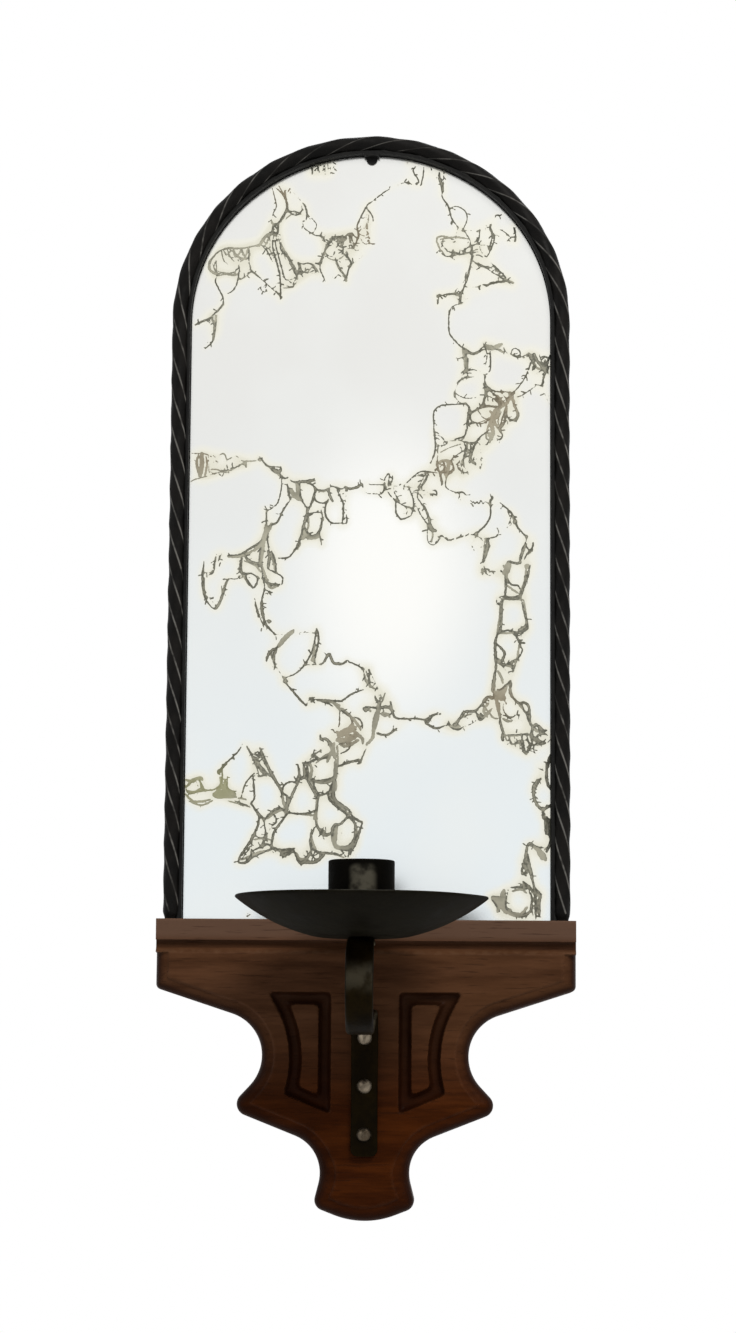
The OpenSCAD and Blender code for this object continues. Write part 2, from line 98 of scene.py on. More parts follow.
def calculate(tree, operation, first, second):
    """The result of one sum on two values or sockets."""
    return add_node(tree, "ShaderNodeMath", {0: first, 1: second}, operation=operation).outputs[0]


def blend_colours(tree, share, first, second):
    """Two colours blended by a share. The node takes colours at its inputs 6 and 7 and gives one at 2."""
    made = add_node(tree, "ShaderNodeMix", {0: share, 6: first, 7: second}, data_type="RGBA")
    return made.outputs[2]


def spread(tree, value, low, high, new_low=0.0, new_high=1.0):
    """A value stretched from one range to another and held inside it."""
    made = add_node(
        tree,
        "ShaderNodeMapRange",
        {"Value": value, "From Min": low, "From Max": high, "To Min": new_low, "To Max": new_high},
        interpolation_type="SMOOTHSTEP",
    )
    return made.outputs[0]


def mottle(tree, place, size, detail=4.0, rough=0.55):
    """Soft noise whose spots are about one size, in millimetres."""
    made = add_node(
        tree,
        "ShaderNodeTexNoise",
        {"Vector": place, "Scale": 1000 / size, "Detail": detail, "Roughness": rough},
    )
    return made.outputs[0]


def grey(value):
    """A neutral colour."""
    return (value, value, value, 1.0)


# %% World
world = bpy.data.worlds.new("studio")
scene.world = world
world.use_nodes = True
sky = world.node_tree
sky.nodes.clear()
ray = add_node(sky, "ShaderNodeLightPath").outputs
mirrored = calculate(sky, "MAXIMUM", ray["Is Glossy Ray"], ray["Is Transmission Ray"])
shown = calculate(sky, "MAXIMUM", ray["Is Camera Ray"], mirrored)
soft_light = add_node(sky, "ShaderNodeBackground", {"Color": (0.97, 0.98, 1.0, 1), "Strength": 0.3})
white_room = add_node(sky, "ShaderNodeBackground", {"Color": (1, 1, 1, 1), "Strength": 1.0})
both = add_node(
    sky, "ShaderNodeMixShader", {0: shown, 1: soft_light.outputs[0], 2: white_room.outputs[0]}
)
add_node(sky, "ShaderNodeOutputWorld", {"Surface": both.outputs[0]})
print("world nodes", len(sky.nodes))


# %% Lamps
def add_lamp(name, place, aim, size, power, colour=(1, 1, 1)):
    """A square area lamp at a place, turned to face a point."""
    data = bpy.data.lights.new(name, "AREA")
    data.size = size
    data.energy = power
    data.color = colour
    lamp = bpy.data.objects.new(name, data)
    back = np.array(place, float) - np.array(aim, float)
    back /= np.linalg.norm(back)
    side = np.cross([0, 0, 1], back)
    side /= np.linalg.norm(side)
    up = np.cross(back, side)
    lamp.matrix_world = Matrix(
        [[side[i], up[i], back[i], place[i]] for i in range(3)] + [[0, 0, 0, 1]]
    )
    scene.collection.objects.link(lamp)


add_lamp(
    "key_lamp", place=(0.75, -1.5, 1.2), aim=(0, 0, -0.25), size=0.7, power=27, colour=(1.0, 0.97, 0.93)
)
add_lamp(
    "side_lamp", place=(-1.5, -0.9, 0.5), aim=(0, 0, -0.2), size=0.7, power=3.5, colour=(0.95, 0.97, 1.0)
)
add_lamp("back_lamp", place=(0.3, 1.6, 0.9), aim=(0, 0, -0.2), size=1.0, power=12)

# %% [markdown]
# ## Grids
#
# Every new piece is a grid of points worked out as whole arrays: rows and columns run along the piece and
# round it. Helpers give the corner numbers of a grid's quads, of its rim, of a wall between two rings and
# of the ends of a tube. Others turn drawing lengths into points, put arrays into a mesh, mark its points
# for the finishes and draw slow waves. Keeping them apart means that a shape is only ever a formula.


# %% Grid helpers
def grid_quads(rows, columns, close_rows=False, close_columns=False):
    """Corner numbers of a grid's quads. A closed grid joins its last row or column to its first."""
    row = np.arange(rows if close_rows else rows - 1)[:, None]
    column = np.arange(columns if close_columns else columns - 1)
    next_row = (row + 1) % rows
    next_column = (column + 1) % columns
    corners = [
        row * columns + column,
        row * columns + next_column,
        next_row * columns + next_column,
        next_row * columns + column,
    ]
    return np.stack(corners, -1).reshape(-1, 4)


def grid_rim(rows, columns):
    """Corner numbers round a grid's rim: along the first row, up the last column, back along the last row
    and down the first column."""
    return np.concatenate(
        [
            np.arange(columns),
            np.arange(1, rows) * columns + columns - 1,
            (rows - 1) * columns + np.arange(columns - 2, -1, -1),
            np.arange(rows - 2, 0, -1) * columns,
        ]
    )


def wall_quads(ring, other):
    """Corner numbers of the quads between two closed rings of points."""
    return np.stack([ring, np.roll(ring, -1), np.roll(other, -1), other], -1)


def end_faces(rings, sides):
    """The two faces that close the ends of a tube of rings."""
    return [np.arange(sides), (rings - 1) * sides + np.arange(sides)]


def round_angles(count):
    """Even angles round a circle."""
    return 2 * np.pi * np.arange(count) / count


def hump(values, middle, width):
    """1 where a value is at the middle, fading softly to nothing some two widths away."""
    return np.exp(-(((values - middle) / width) ** 2))


def drawn(right_mm, out_mm, up_mm):
    """Drawing lengths as points of the frame, in metres: x right, y away from the viewer, z up."""
    right_mm, out_mm, up_mm = np.broadcast_arrays(right_mm, out_mm, up_mm)
    points = np.stack([right_mm, -out_mm, up_mm], -1).reshape(-1, 3) / 1000.0
    points[:, 2] += wood_top
    return points


def make_piece(name, points, quads, polygons=(), replaces=(), crease=40):
    """A mesh piece from arrays: its faces turned outward, smooth except at edges over a crease angle."""
    quads = np.asarray(quads)
    corners = np.concatenate([quads.ravel(), *[np.ravel(p) for p in polygons]]).astype(np.int32)
    sizes = np.array([4] * len(quads) + [len(p) for p in polygons], np.int32)
    mesh = bpy.data.meshes.new(name)
    mesh.vertices.add(len(points))
    mesh.vertices.foreach_set("co", np.ravel(points).astype(np.float32))
    mesh.loops.add(len(corners))
    mesh.loops.foreach_set("vertex_index", corners)
    mesh.polygons.add(len(sizes))
    mesh.polygons.foreach_set("loop_start", (np.cumsum(sizes) - sizes).astype(np.int32))
    mesh.polygons.foreach_set("use_smooth", np.ones(len(sizes), bool))
    mesh.update(calc_edges=True)
    mesh.validate()
    shell = bmesh.new()
    shell.from_mesh(mesh)
    bmesh.ops.recalc_face_normals(shell, faces=shell.faces)
    shell.to_mesh(mesh)
    shell.free()
    mesh.set_sharp_from_angle(angle=np.radians(crease))
    piece = bpy.data.objects.new(name, mesh)
    scene.collection.objects.link(piece)
    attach(piece, "root")
    for node in replaces:
        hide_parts(node)
    print(name, len(mesh.vertices), "points", len(mesh.polygons), "faces")
    return piece


def mark_points(piece, name, values):
    """A number on each point of a piece, which its material reads by name."""
    layer = piece.data.attributes.new(name, "FLOAT", "POINT")
    layer.data.foreach_set("value", np.ravel(values).astype(np.float32))


def soft_waves(across, along, size, seed, count=9):
    """Even, random swell between about -1 and 1: the mean of sines whose directions, lengths and phases
    are drawn from a seed, with wavelengths round one size."""
    draw = np.random.default_rng(seed)
    turn = draw.uniform(0, 2 * np.pi, count)
    pace = 2 * np.pi / (size * draw.uniform(0.6, 1.7, count))
    start = draw.uniform(0, 2 * np.pi, count)
    total = np.zeros(np.broadcast(across, along).shape)
    for k in range(count):
        total += np.sin(pace[k] * (across * np.cos(turn[k]) + along * np.sin(turn[k])) + start[k])
    return total / np.sqrt(count)


# %% [markdown]
# ## Twisted bar
#
# A square bar with soft corners was heated, twisted left-handed and bent over the arch. Its feet are turned
# down to round tenons that stand in the wood. It could be a curve with a bevel and a tilt, but a profile
# carried along the path keeps the twist even and lets each point know how near a ridge it is, which the
# finish uses for the rubbed ridges; their pale colour is also a painted highlight.

# %% Arch
# The crown is part of a larger circle than the haunches, so the arch is a little flatter than a half circle
half_width = 87.1
arch_height = 345.2
crown_drop = 3.2
haunch_x = 5.1
arch_rise = half_width - crown_drop
haunch_radius = half_width - haunch_x
spring = arch_height - arch_rise
haunch_lift = arch_rise - haunch_radius
crown_dip = (haunch_x**2 - haunch_lift**2) / (2 * haunch_lift)
crown_radius = arch_rise + crown_dip
crown_angle = np.arctan2(crown_dip, haunch_x)


def arch_line(inset, foot, step):
    """The arch inside the bar's outside by an inset: a leg, a haunch arc, the crown arc, a haunch arc and
    a leg, at equal steps from a foot height. Gives x, z, the angle of the outward side and the way walked."""
    small, large = haunch_radius - inset, crown_radius - inset
    leg = spring - foot
    haunch = small * crown_angle
    crown = large * (np.pi - 2 * crown_angle)
    total = 2 * leg + 2 * haunch + crown
    s = np.linspace(0, total, int(total / step) + 1)
    parts = [s < leg, s < leg + haunch, s < leg + haunch + crown, s < total - leg]
    angle = np.select(
        parts,
        [
            np.full_like(s, np.pi),
            np.pi - (s - leg) / small,
            np.pi - crown_angle - (s - leg - haunch) / large,
            (total - leg - s) / small,
        ],
        0.0,
    )
    centre_x = np.select(parts, [-haunch_x, -haunch_x, 0.0, haunch_x], haunch_x)
    centre_z = np.select(
        parts, [foot + s, spring, spring - crown_dip, spring], foot + total - s
    )
    radius = np.select(parts, [small, small, large, small], small)
    return centre_x + radius * np.cos(angle), centre_z + radius * np.sin(angle), angle, s


def beside(line_x, line_z, angle, reach):
    """Places at a reach from the points of a line, on its outward side. Gives x and z."""
    return line_x[:, None] + reach * np.cos(angle)[:, None], line_z[:, None] + reach * np.sin(angle)[:, None]


def half_span(inset, foot, heights, beyond=None):
    """Half the width inside the arch at some heights, and a value for heights beyond its top."""
    line_x, line_z = arch_line(inset, foot, 1.0)[:2]
    left = slice(len(line_x) // 2 + 1)
    return np.interp(heights, line_z[left], -line_x[left], right=beyond)


bar_radius, bar_hollow, bar_pitch, bar_out = 3.6, 0.3, 63.0, 12.0
bar_foot, bar_step = 2.0, 1.2
path_x, path_z, outward, path_s = arch_line(bar_radius, bar_foot, bar_step)
print("bar length", round(path_s[-1], 1), "mm, arch height", round(path_z.max() + bar_radius, 1), "mm")

# %% Bar
sides = 48
dent_room = 0.06
shoulder_r, shoulder_length = 3.1, 2.0
turn = round_angles(sides)
twist = 2 * np.pi * (path_s + 1.2 * soft_waves(path_s, 0 * path_s, 160, 3)) / bar_pitch
ridge = 1 - np.abs(np.sin(2 * turn)) ** 1.15
shoulder = np.clip(np.minimum(path_s, path_s[-1] - path_s) / shoulder_length, 0, 1)[:, None]
dents = 0.05 * soft_waves(path_s[:, None], 12 * np.cos(turn), 17, 5)
dents = dents + 0.035 * soft_waves(path_s[:, None], 12 * np.sin(turn), 6, 6)
radius = bar_radius - bar_hollow * (1 - ridge) - dent_room + np.minimum(dents, dent_room)
radius = radius - (radius - shoulder_r) * (1 - shoulder) ** 2
spin = turn - twist[:, None]
bar_x, bar_z = beside(path_x, path_z, outward, radius * np.cos(spin))
bar_u = bar_out + radius * np.sin(spin)

# Each foot: the bar narrows in a short cove to a round tenon that goes down into the wood
tenon_r = np.array([2.6, 2.6, 2.7, 2.9])[:, None]
tenon_z = np.array([-12.0, 0.0, 0.8, 1.5])[:, None] + np.zeros(sides)


def bar_end(end, side):
    """Rings of the tenon at one end of the bar, from its tip upward. Gives x, u and z."""
    tenon_x = path_x[end] + side * tenon_r * np.cos(spin[end])
    return tenon_x, bar_out + tenon_r * np.sin(spin[end]), tenon_z


all_x, all_u, all_z = (
    np.concatenate([left, middle, right_end[::-1]])
    for left, middle, right_end in zip(bar_end(0, -1), (bar_x, bar_u, bar_z), bar_end(-1, 1))
)
rings = len(all_x)
bar_piece = make_piece(
    "twisted_bar",
    drawn(all_x, all_u, all_z),
    grid_quads(rings, sides, close_columns=True),
    end_faces(rings, sides),
    ["frame_bar"],
)
bare = np.zeros((len(tenon_r), sides))
# The ridges are rubbed pale, and the pale is also a painted highlight; it is weaker round the crown
crown_dimming = 1 - 0.12 * hump(path_s, path_s[-1] / 2, 85)[:, None]
ridge_wear_and_highlight = ridge * crown_dimming * np.clip(shoulder * 2, 0, 1)
mark_points(bar_piece, "ridge", np.concatenate([bare, ridge_wear_and_highlight, bare]))

# %% Weld seam
# A thin bead of weld fills the gap between the bar and the tray's rim. It has a few lumps near the crown,
# and at its two feet it swells toward the bar, which is narrower there
seam_inset, seam_foot, seam_step, seam_out = 7.25, 0.2, 0.8, 13.2
bead_sides, bead_plain_r = 10, 0.62
seam_x, seam_z, seam_side, seam_s = arch_line(seam_inset, seam_foot, seam_step)
near_crown = 0.35 + 0.65 * hump(seam_s, seam_s[-1] / 2, 90)
lumps = np.clip(soft_waves(seam_s, 0 * seam_s, 11, 52) - 0.9, 0, 1) * near_crown
foot_swell = 0.4 * np.clip(1 - np.minimum(seam_s, seam_s[-1] - seam_s) / 3, 0, 1)
bead_r = bead_plain_r + 0.1 * soft_waves(seam_s, 0 * seam_s, 4, 51) + 0.7 * lumps + foot_swell
bead_turn = round_angles(bead_sides)
bead_reach = bead_r[:, None] * np.cos(bead_turn) + foot_swell[:, None]
bead_x, bead_z = beside(seam_x, seam_z, seam_side, bead_reach)
bead_u = seam_out + bead_r[:, None] * np.sin(bead_turn) * 0.9
seam = make_piece(
    "weld_seam",
    drawn(bead_x, bead_u, bead_z),
    grid_quads(len(seam_s), bead_sides, close_columns=True),
    end_faces(len(seam_s), bead_sides),
)

# %% [markdown]
# ## Carved bracket
#
# The bracket is one mahogany board. Its outline was sawn, its edge moulded with a cutter that follows the
# outline, a groove planed across under the top edge, and a channel routed round each of two panels. Seen
# from the front it is a height field: the distance of each point from the nearest edge gives the depth of
# the moulding, so the whole face is one grid between the mirrored sides of the outline.


# %% Bracket outline
def round_corner(before, corner, after, radius, count):
    """Points on the arc that touches both sides of a corner, at radius / tan(half its angle) from it."""
    before, corner, after = (np.array(p, float) for p in (before, corner, after))
    u = (before - corner) / np.linalg.norm(before - corner)
    v = (after - corner) / np.linalg.norm(after - corner)
    half = np.arccos(u @ v) / 2
    centre = corner + radius / np.sin(half) * (u + v) / np.linalg.norm(u + v)
    first = corner + radius / np.tan(half) * u - centre
    last = corner + radius / np.tan(half) * v - centre
    start = np.arctan2(first[1], first[0])
    sweep = (np.arctan2(last[1], last[0]) - start + np.pi) % (2 * np.pi) - np.pi
    angle = start + sweep * np.linspace(0, 1, count)
    return centre + radius * np.stack([np.cos(angle), np.sin(angle)], -1)


# The right half of the outline, from the lowest point in the middle to the top corner
wood_half = 89.15
corners = [
    (-21.8, -120.4),
    (0, -128.8),
    (21.8, -120.4),
    (15.7, -96.4),
    (57.9, -79.8),
    (29, -48.9),
    (wood_half, -29.3),
    (wood_half, 0),
]
chin_radius = 36
corner_radii = [4.5, 16.6, 5, 18.4, 2.5]
chin = round_corner(*corners[:3], chin_radius, 47)[23:]
arcs = [round_corner(*corners[k + 1 : k + 4], r, 24) for k, r in enumerate(corner_radii)]
outline = np.concatenate([chin, *arcs, [[wood_half, 0.0]]])
chin_z = outline[0, 1]
rises_only = bool(np.all(np.diff(outline[:, 1]) > 0))
print("outline", len(outline), "points, lowest", round(chin_z, 2), "rises only:", rises_only)


def edge_distance(x, z, line):
    """Distance of each point from the nearest stretch of a line of points."""
    nearest = np.full(np.shape(x), 1e9)
    for (x0, z0), (x1, z1) in zip(line[:-1], line[1:]):
        run, rise = x1 - x0, z1 - z0
        share = ((x - x0) * run + (z - z0) * rise) / (run * run + rise * rise)
        share = np.clip(share, 0, 1)
        nearest = np.minimum(nearest, np.hypot(x - x0 - share * run, z - z0 - share * rise))
    return nearest


# %% Bracket face
# Rows lie close together where the outline is nearly level and at the walls of the groove
bracket_t = 19.0
pocket_half = 79.05
groove_foot = -14.5
chin_rows = chin_z + np.array([0.003, 0.02, 0.06, 0.13, 0.22, 0.34, 0.5, 0.7, 0.95])
body_rows = np.arange(chin_z + 1.25, groove_foot - 0.4, 0.48)
groove_rows = np.array([-14.5, -14.1, -13.3, -12.5, -12.2, -12.0, -11.0, -10.0, -9.2, -8.98, -8.9, -8.7])
top_rows = np.array([-8.2, -7.0, -6.0, -5.0, -4.0, -3.0, -2.0, -1.2, -0.7, -0.35, -0.1, 0.0])
wood_rows = np.concatenate([chin_rows, body_rows, groove_rows, top_rows])
wood_row_half = np.interp(wood_rows, outline[:, 1], outline[:, 0])
pocket_share = pocket_half / wood_half
inner_shares = np.linspace(-pocket_share, pocket_share, 285)
outer_shares = np.linspace(pocket_share, 1, 20)[1:]
row_shares = np.concatenate([-outer_shares[::-1], inner_shares, outer_shares])
face_x = row_shares * wood_row_half[:, None]
face_z = np.broadcast_to(wood_rows[:, None], face_x.shape)
print("face grid", face_x.shape)

# The moulding follows the outline up to the groove, and is a little wider round the chin
mirrored_x = np.abs(face_x)
sawn = outline[outline[:, 1] < groove_foot]
sawn = np.concatenate([sawn, [[wood_half, groove_foot]]])
rim_gap = edge_distance(mirrored_x, face_z, sawn)
above_mould = np.hypot(wood_half - mirrored_x, face_z - groove_foot)
rim_gap = np.where(face_z > groove_foot, above_mould, rim_gap)
rim_share = rim_gap / (6.0 + 1.5 * hump(face_z, -108, 9))
mould_shares = [0, 0.05, 0.14, 0.28, 0.45, 0.62, 0.78, 0.86, 0.93, 1.0]
mould_depths = [1, 0.8, 0.62, 0.44, 0.31, 0.23, 0.19, 0.17, 0.05, 0]
moulding = 6.0 * np.interp(rim_share, mould_shares, mould_depths)
moulding = np.where(face_z > groove_foot + 0.2, 0, moulding)
groove = 2.4 * np.interp(face_z, [groove_foot, -12.2, -12.0, -9.2, -8.98, -8.9], [0, 0.96, 1, 1, 0.92, 0])
top_round = 0.5 * np.clip(1 + face_z / 0.7, 0, 1) ** 2

# Panels: how far inside its channel's outer edge a point lies. A panel has straight sides, a level top, a
# sloping foot and a hollow outer side, and its corners are soft
panel_inner, panel_outer, panel_top, panel_foot, panel_slope = 14.2, 41.5, -30.5, -82.0, 0.42
hollow_x, hollow_z, hollow_r = 76.8, -58.9, 44.8
channel_w, channel_depth, softness = 5.5, 3.2, 0.9
foot_gap = face_z - panel_foot - panel_slope * (mirrored_x - panel_inner)
foot_gap = foot_gap / np.hypot(1, panel_slope)
side_gap = np.hypot(mirrored_x - hollow_x, face_z - hollow_z) - hollow_r
inner_gap, outer_gap = mirrored_x - panel_inner, panel_outer - mirrored_x
gaps = np.stack([inner_gap, panel_top - face_z, foot_gap, side_gap, outer_gap])
panel_gap = -softness * np.log(np.exp(-gaps / softness).sum(0))
channel_share = np.clip(panel_gap / channel_w, 0, 1)
channel = channel_depth * (1 - np.abs(2 * channel_share - 1) ** 2.6) ** 0.8
channel = np.where((panel_gap > 0) & (panel_gap < channel_w), channel, 0)

# The hand that carved it left slow waves, which never rise over the board's full thickness
hand_room = 0.12
hand_work = 0.07 * soft_waves(face_x, face_z, 26, 11) + 0.03 * soft_waves(face_x, face_z, 8, 12)
cut = np.maximum(np.maximum(moulding, channel), groove) + top_round
face_out = bracket_t - hand_room - cut + np.minimum(hand_work, hand_room)

# %% Bracket board
# The ring runs along the bottom, up the right side, along the top to the left and down the left side
rows, columns = face_x.shape
ring = grid_rim(rows, columns)
count = len(ring)
ring_x = face_x.ravel()[ring]
ring_z = face_z.ravel()[ring]
rebate_front = 10.2
over_pocket = (ring_z == 0) & (np.abs(ring_x) < pocket_half - 0.01)
back = rows * columns + np.arange(count)
back_points = drawn(ring_x, np.where(over_pocket, rebate_front, 0.0), ring_z)

# Corners of the rebates for the flange and the glass: five on the right, then five on the left
flange_front, flange_foot, rebate_foot = 5.0, -26.2, -7.2
right_pocket = rows * columns + count + np.arange(5)
left_pocket = right_pocket + 5
pocket_points = drawn(
    np.repeat([pocket_half, -pocket_half], 5),
    np.tile([0.0, flange_front, flange_front, rebate_front, rebate_front], 2),
    np.tile([flange_foot, flange_foot, rebate_foot, rebate_foot, 0.0], 2),
)
at_top = np.flatnonzero(ring_z == 0)
right_at = at_top[np.argmin(np.abs(ring_x[at_top] - pocket_half))]
left_at = at_top[np.argmin(np.abs(ring_x[at_top] + pocket_half))]
unbroken = np.setdiff1d(np.arange(count), [right_at - 1, right_at, left_at - 1, left_at])
after = (unbroken + 1) % count
side_quads = np.stack([ring[unbroken], ring[after], back[after], back[unbroken]], -1)
R, L = right_pocket, left_pocket
i, j = right_at, left_at
board_polygons = [
    [ring[i - 1], ring[i], R[4], back[i], back[i - 1]],
    [ring[i], ring[i + 1], back[i + 1], R[4]],
    [ring[j - 1], ring[j], L[4], back[j - 1]],
    [ring[j], ring[j + 1], back[j + 1], back[j], L[4]],
    np.concatenate([back[j:], back[: i + 1], [R[0], L[0]]]),
    np.concatenate([[R[4]], back[i + 1 : j], [L[4], L[3], R[3]]]),
    [R[2], R[3], L[3], L[2]],
    [R[1], R[2], L[2], L[1]],
    [R[0], R[1], L[1], L[0]],
    [back[i], R[4], R[3], R[2], R[1], R[0]],
    [back[j], L[4], L[3], L[2], L[1], L[0]],
]
board = make_piece(
    "carved_bracket",
    np.concatenate([drawn(face_x, face_out, face_z), back_points, pocket_points]),
    np.concatenate([grid_quads(rows, columns), side_quads]),
    board_polygons,
    ["wood_bracket"],
    crease=50,
)

# Dark polish and painted shade lie in the recesses, most of all along a channel's walls. The sharp edges are
# worn, and their pale lines are also painted highlights, as is the band on the slope under the groove
walls = hump(channel_share, 0.13, 0.11) + hump(channel_share, 0.87, 0.11)
polish_and_shade = np.clip(np.maximum(moulding / 3.4, (face_z > -12.4) * groove / 5.0), 0, 1)
polish_and_shade = np.maximum(polish_and_shade, (channel > 0) * (0.74 + 0.26 * np.clip(walls, 0, 1)))
unmarked = np.zeros(len(back_points) + len(pocket_points))
mark_points(board, "polish_and_shade", np.concatenate([polish_and_shade.ravel(), unmarked]))
# Outline and panel edges are worn and also carry painted highlight lines; the band on the slope under the
# groove is a painted highlight
worn_and_lit = hump(rim_share, 0.98, 0.16) * (face_z < -16) * 0.35
worn_and_lit += hump(panel_gap, 0, 0.5) * 0.4 + hump(face_z, -13.8, 1.1) * 0.95
mark_points(board, "edge", np.concatenate([worn_and_lit.ravel(), unmarked]))

# %% [markdown]
# ## Arm
#
# The arm is a flat bar bent hot: it lies on the wood, leans out over a small heel, swings round a wide crook
# and ends under the pan. Its long edges are rounded by hammer and file. The rounded section is carried along
# the bent centre line, and it narrows over the last few millimetres into a rounded foot.


# %% Strap path
def arc(centre, radius, start, stop, count):
    """Points on an arc between two angles in degrees."""
    angle = np.radians(np.linspace(start, stop, count))
    return np.array(centre) + radius * np.stack([np.cos(angle), np.sin(angle)], -1)


strap_mid, strap_foot, arm_out, past_axis = 20.5, -99.3, 81.0, 15
heel, heel_r = np.array([26.0, -45.0]), 5.5
crook, crook_r = np.array([85.5, -30.0]), 18.0
span = crook - heel
slant = np.degrees(np.arctan2(span[1], span[0]) - np.arcsin((heel_r + crook_r) / np.hypot(*span)))
corner_line = np.concatenate(
    [
        [[strap_mid, strap_foot]],
        arc(heel, heel_r, 180, 90 + slant, 60),
        arc(crook, crook_r, slant - 90, 90, 200),
        [[arm_out - past_axis, crook[1] + crook_r]],
    ]
)
legs = np.hypot(*np.diff(corner_line, axis=0).T)
walked = np.concatenate([[0], np.cumsum(legs)])
tip_length, strap_step = 3.0, 0.9
tip_steps = tip_length * (1 - np.cos(np.linspace(0, np.pi / 2, 9)[:-1]))
steps = np.concatenate([tip_steps, np.arange(tip_length, walked[-1], strap_step), walked[-1:]])
strap_u = np.interp(steps, walked, corner_line[:, 0])
strap_z = np.interp(steps, walked, corner_line[:, 1])
lean = np.arctan2(np.gradient(strap_z, steps), np.gradient(strap_u, steps))
print("strap length", round(walked[-1], 1), "mm, slant", round(slant, 1), "degrees")

# %% Strap
# The section is a flat bar with rounded edges, and the tip is rounded off in plan
strap_half_w, strap_half_t, edge_w, edge_t = 5.7, 1.5, 1.9, 1.4
quarter = np.radians(np.linspace(0, 90, 8))
section_w = np.concatenate([np.cos(quarter + k * np.pi / 2) for k in range(4)]) * edge_w
section_t = np.concatenate([np.sin(quarter + k * np.pi / 2) for k in range(4)]) * edge_t
section_w += np.repeat([1, -1, -1, 1], len(quarter)) * (strap_half_w - edge_w)
section_t += np.repeat([1, 1, -1, -1], len(quarter)) * (strap_half_t - edge_t)
to_tip = np.clip(tip_length - steps, 0, tip_length)
narrow = (tip_length + np.sqrt(tip_length**2 - to_tip**2)) / (2 * tip_length)
width_sway = 1 - 0.012 + 0.012 * soft_waves(steps, 0 * steps, 24, 33)
thickness_sway = 1 + 0.03 * np.minimum(soft_waves(steps, 0 * steps, 30, 32), 0)
hammered = 0.05 * soft_waves(steps[:, None], section_w * 2, 21, 31)
wide = section_w * narrow[:, None] * width_sway[:, None]
thick = section_t * thickness_sway[:, None] - np.abs(hammered) * np.sign(section_t)
strap_out = strap_u[:, None] - thick * np.sin(lean)[:, None]
strap_up = strap_z[:, None] + thick * np.cos(lean)[:, None]
section_points = len(section_w)
strap = make_piece(
    "bent_strap",
    drawn(wide, strap_out, strap_up),
    grid_quads(len(steps), section_points, close_columns=True),
    end_faces(len(steps), section_points),
    ["arm_strap"],
)

# The outer long edges are rubbed, and their pale is also a painted highlight; the pale front of the crook is
# a painted highlight
worn_lit_edges = hump(np.abs(section_w), 5.1, 0.6) * (section_t > 0.2)
lit_front_of_crook = (hump(strap_z, -27, 9) * (strap_u > 95))[:, None]
painted_crook_highlight = 0.62 * lit_front_of_crook * (np.abs(section_w) < 5.5)
mark_points(strap, "ridge", np.maximum(worn_lit_edges, painted_crook_highlight))

# %% [markdown]
# ## Pan and cup
#
# Both were turned or pressed round one upright axis, so each is a closed profile carried round that axis.
# The sheet is never perfectly round: slow waves round the rim give it the look of real sheet metal.


# %% Turned pieces
def turned(radius, up, count, wobble=0.0, seed=1):
    """A closed profile carried round the cup's axis, in front of the wall by arm_out. Wobble draws the
    radius in and swells the height a little, in slow waves round the axis that grow with the radius."""
    angle = round_angles(count)
    reach = radius[:, None] / radius.max()
    swell = wobble * reach**2 * soft_waves(3 * np.cos(angle), 3 * np.sin(angle), 5, seed)
    ring_r = radius[:, None] - np.abs(swell) * 0.5
    ring_up = up[:, None] + swell * 0.5
    return drawn(ring_r * np.cos(angle), arm_out + ring_r * np.sin(angle), ring_up)


# The pan has a flat seat with a rivet hole, a short toe arc and one wide arc up to its rim
seat, pan_r, pan_depth, pan_t, pan_under = 14.0, 51.3, 15.5, 1.2, -10.5
rivet_r, toe_r, toe_degrees, pan_sides = 2.6, 30.0, 14, 200
toe = np.radians(toe_degrees)
toe_mid = np.array([seat, toe_r])
toe_end = toe_mid + toe_r * np.array([np.sin(toe), -np.cos(toe)])
rise = np.array([pan_r, pan_depth]) - toe_end
chord = np.arctan2(rise[1], rise[0])
wall_r = np.hypot(*rise) / (2 * np.sin(chord - toe))
wall_mid = toe_end + wall_r * np.array([-np.sin(toe), np.cos(toe)])
rim_angle = np.degrees(2 * chord - toe)


def pan_curve(thickness):
    """Half section of the pan's underside moved inward: the toe's arc, then the wall's arc."""
    return np.concatenate(
        [
            arc(toe_mid, toe_r - thickness, -90, toe_degrees - 90, 6),
            arc(wall_mid, wall_r - thickness, toe_degrees - 89.6, rim_angle - 90, 40),
        ]
    )


under, inside = pan_curve(0), pan_curve(pan_t)
lip_mid = (under[-1] + inside[-1]) / 2
lip = arc(lip_mid, pan_t / 2, rim_angle - 90, rim_angle + 90, 9)[1:-1]
flat = np.linspace(rivet_r, seat - 1, 6)
profile = np.concatenate(
    [
        np.stack([flat, 0 * flat], -1),
        under[:-1],
        lip,
        inside[::-1],
        np.stack([flat[::-1], pan_t + 0 * flat], -1),
    ]
)
pan = make_piece(
    "dished_pan",
    turned(profile[:, 0], pan_under + profile[:, 1], pan_sides, 0.5, 41),
    grid_quads(len(profile), pan_sides, True, True),
    replaces=["drip_pan"],
)
rim_mark = hump(profile[:, 1], profile[:, 1].max(), 0.5)
mark_points(pan, "ridge", np.repeat(rim_mark, pan_sides))

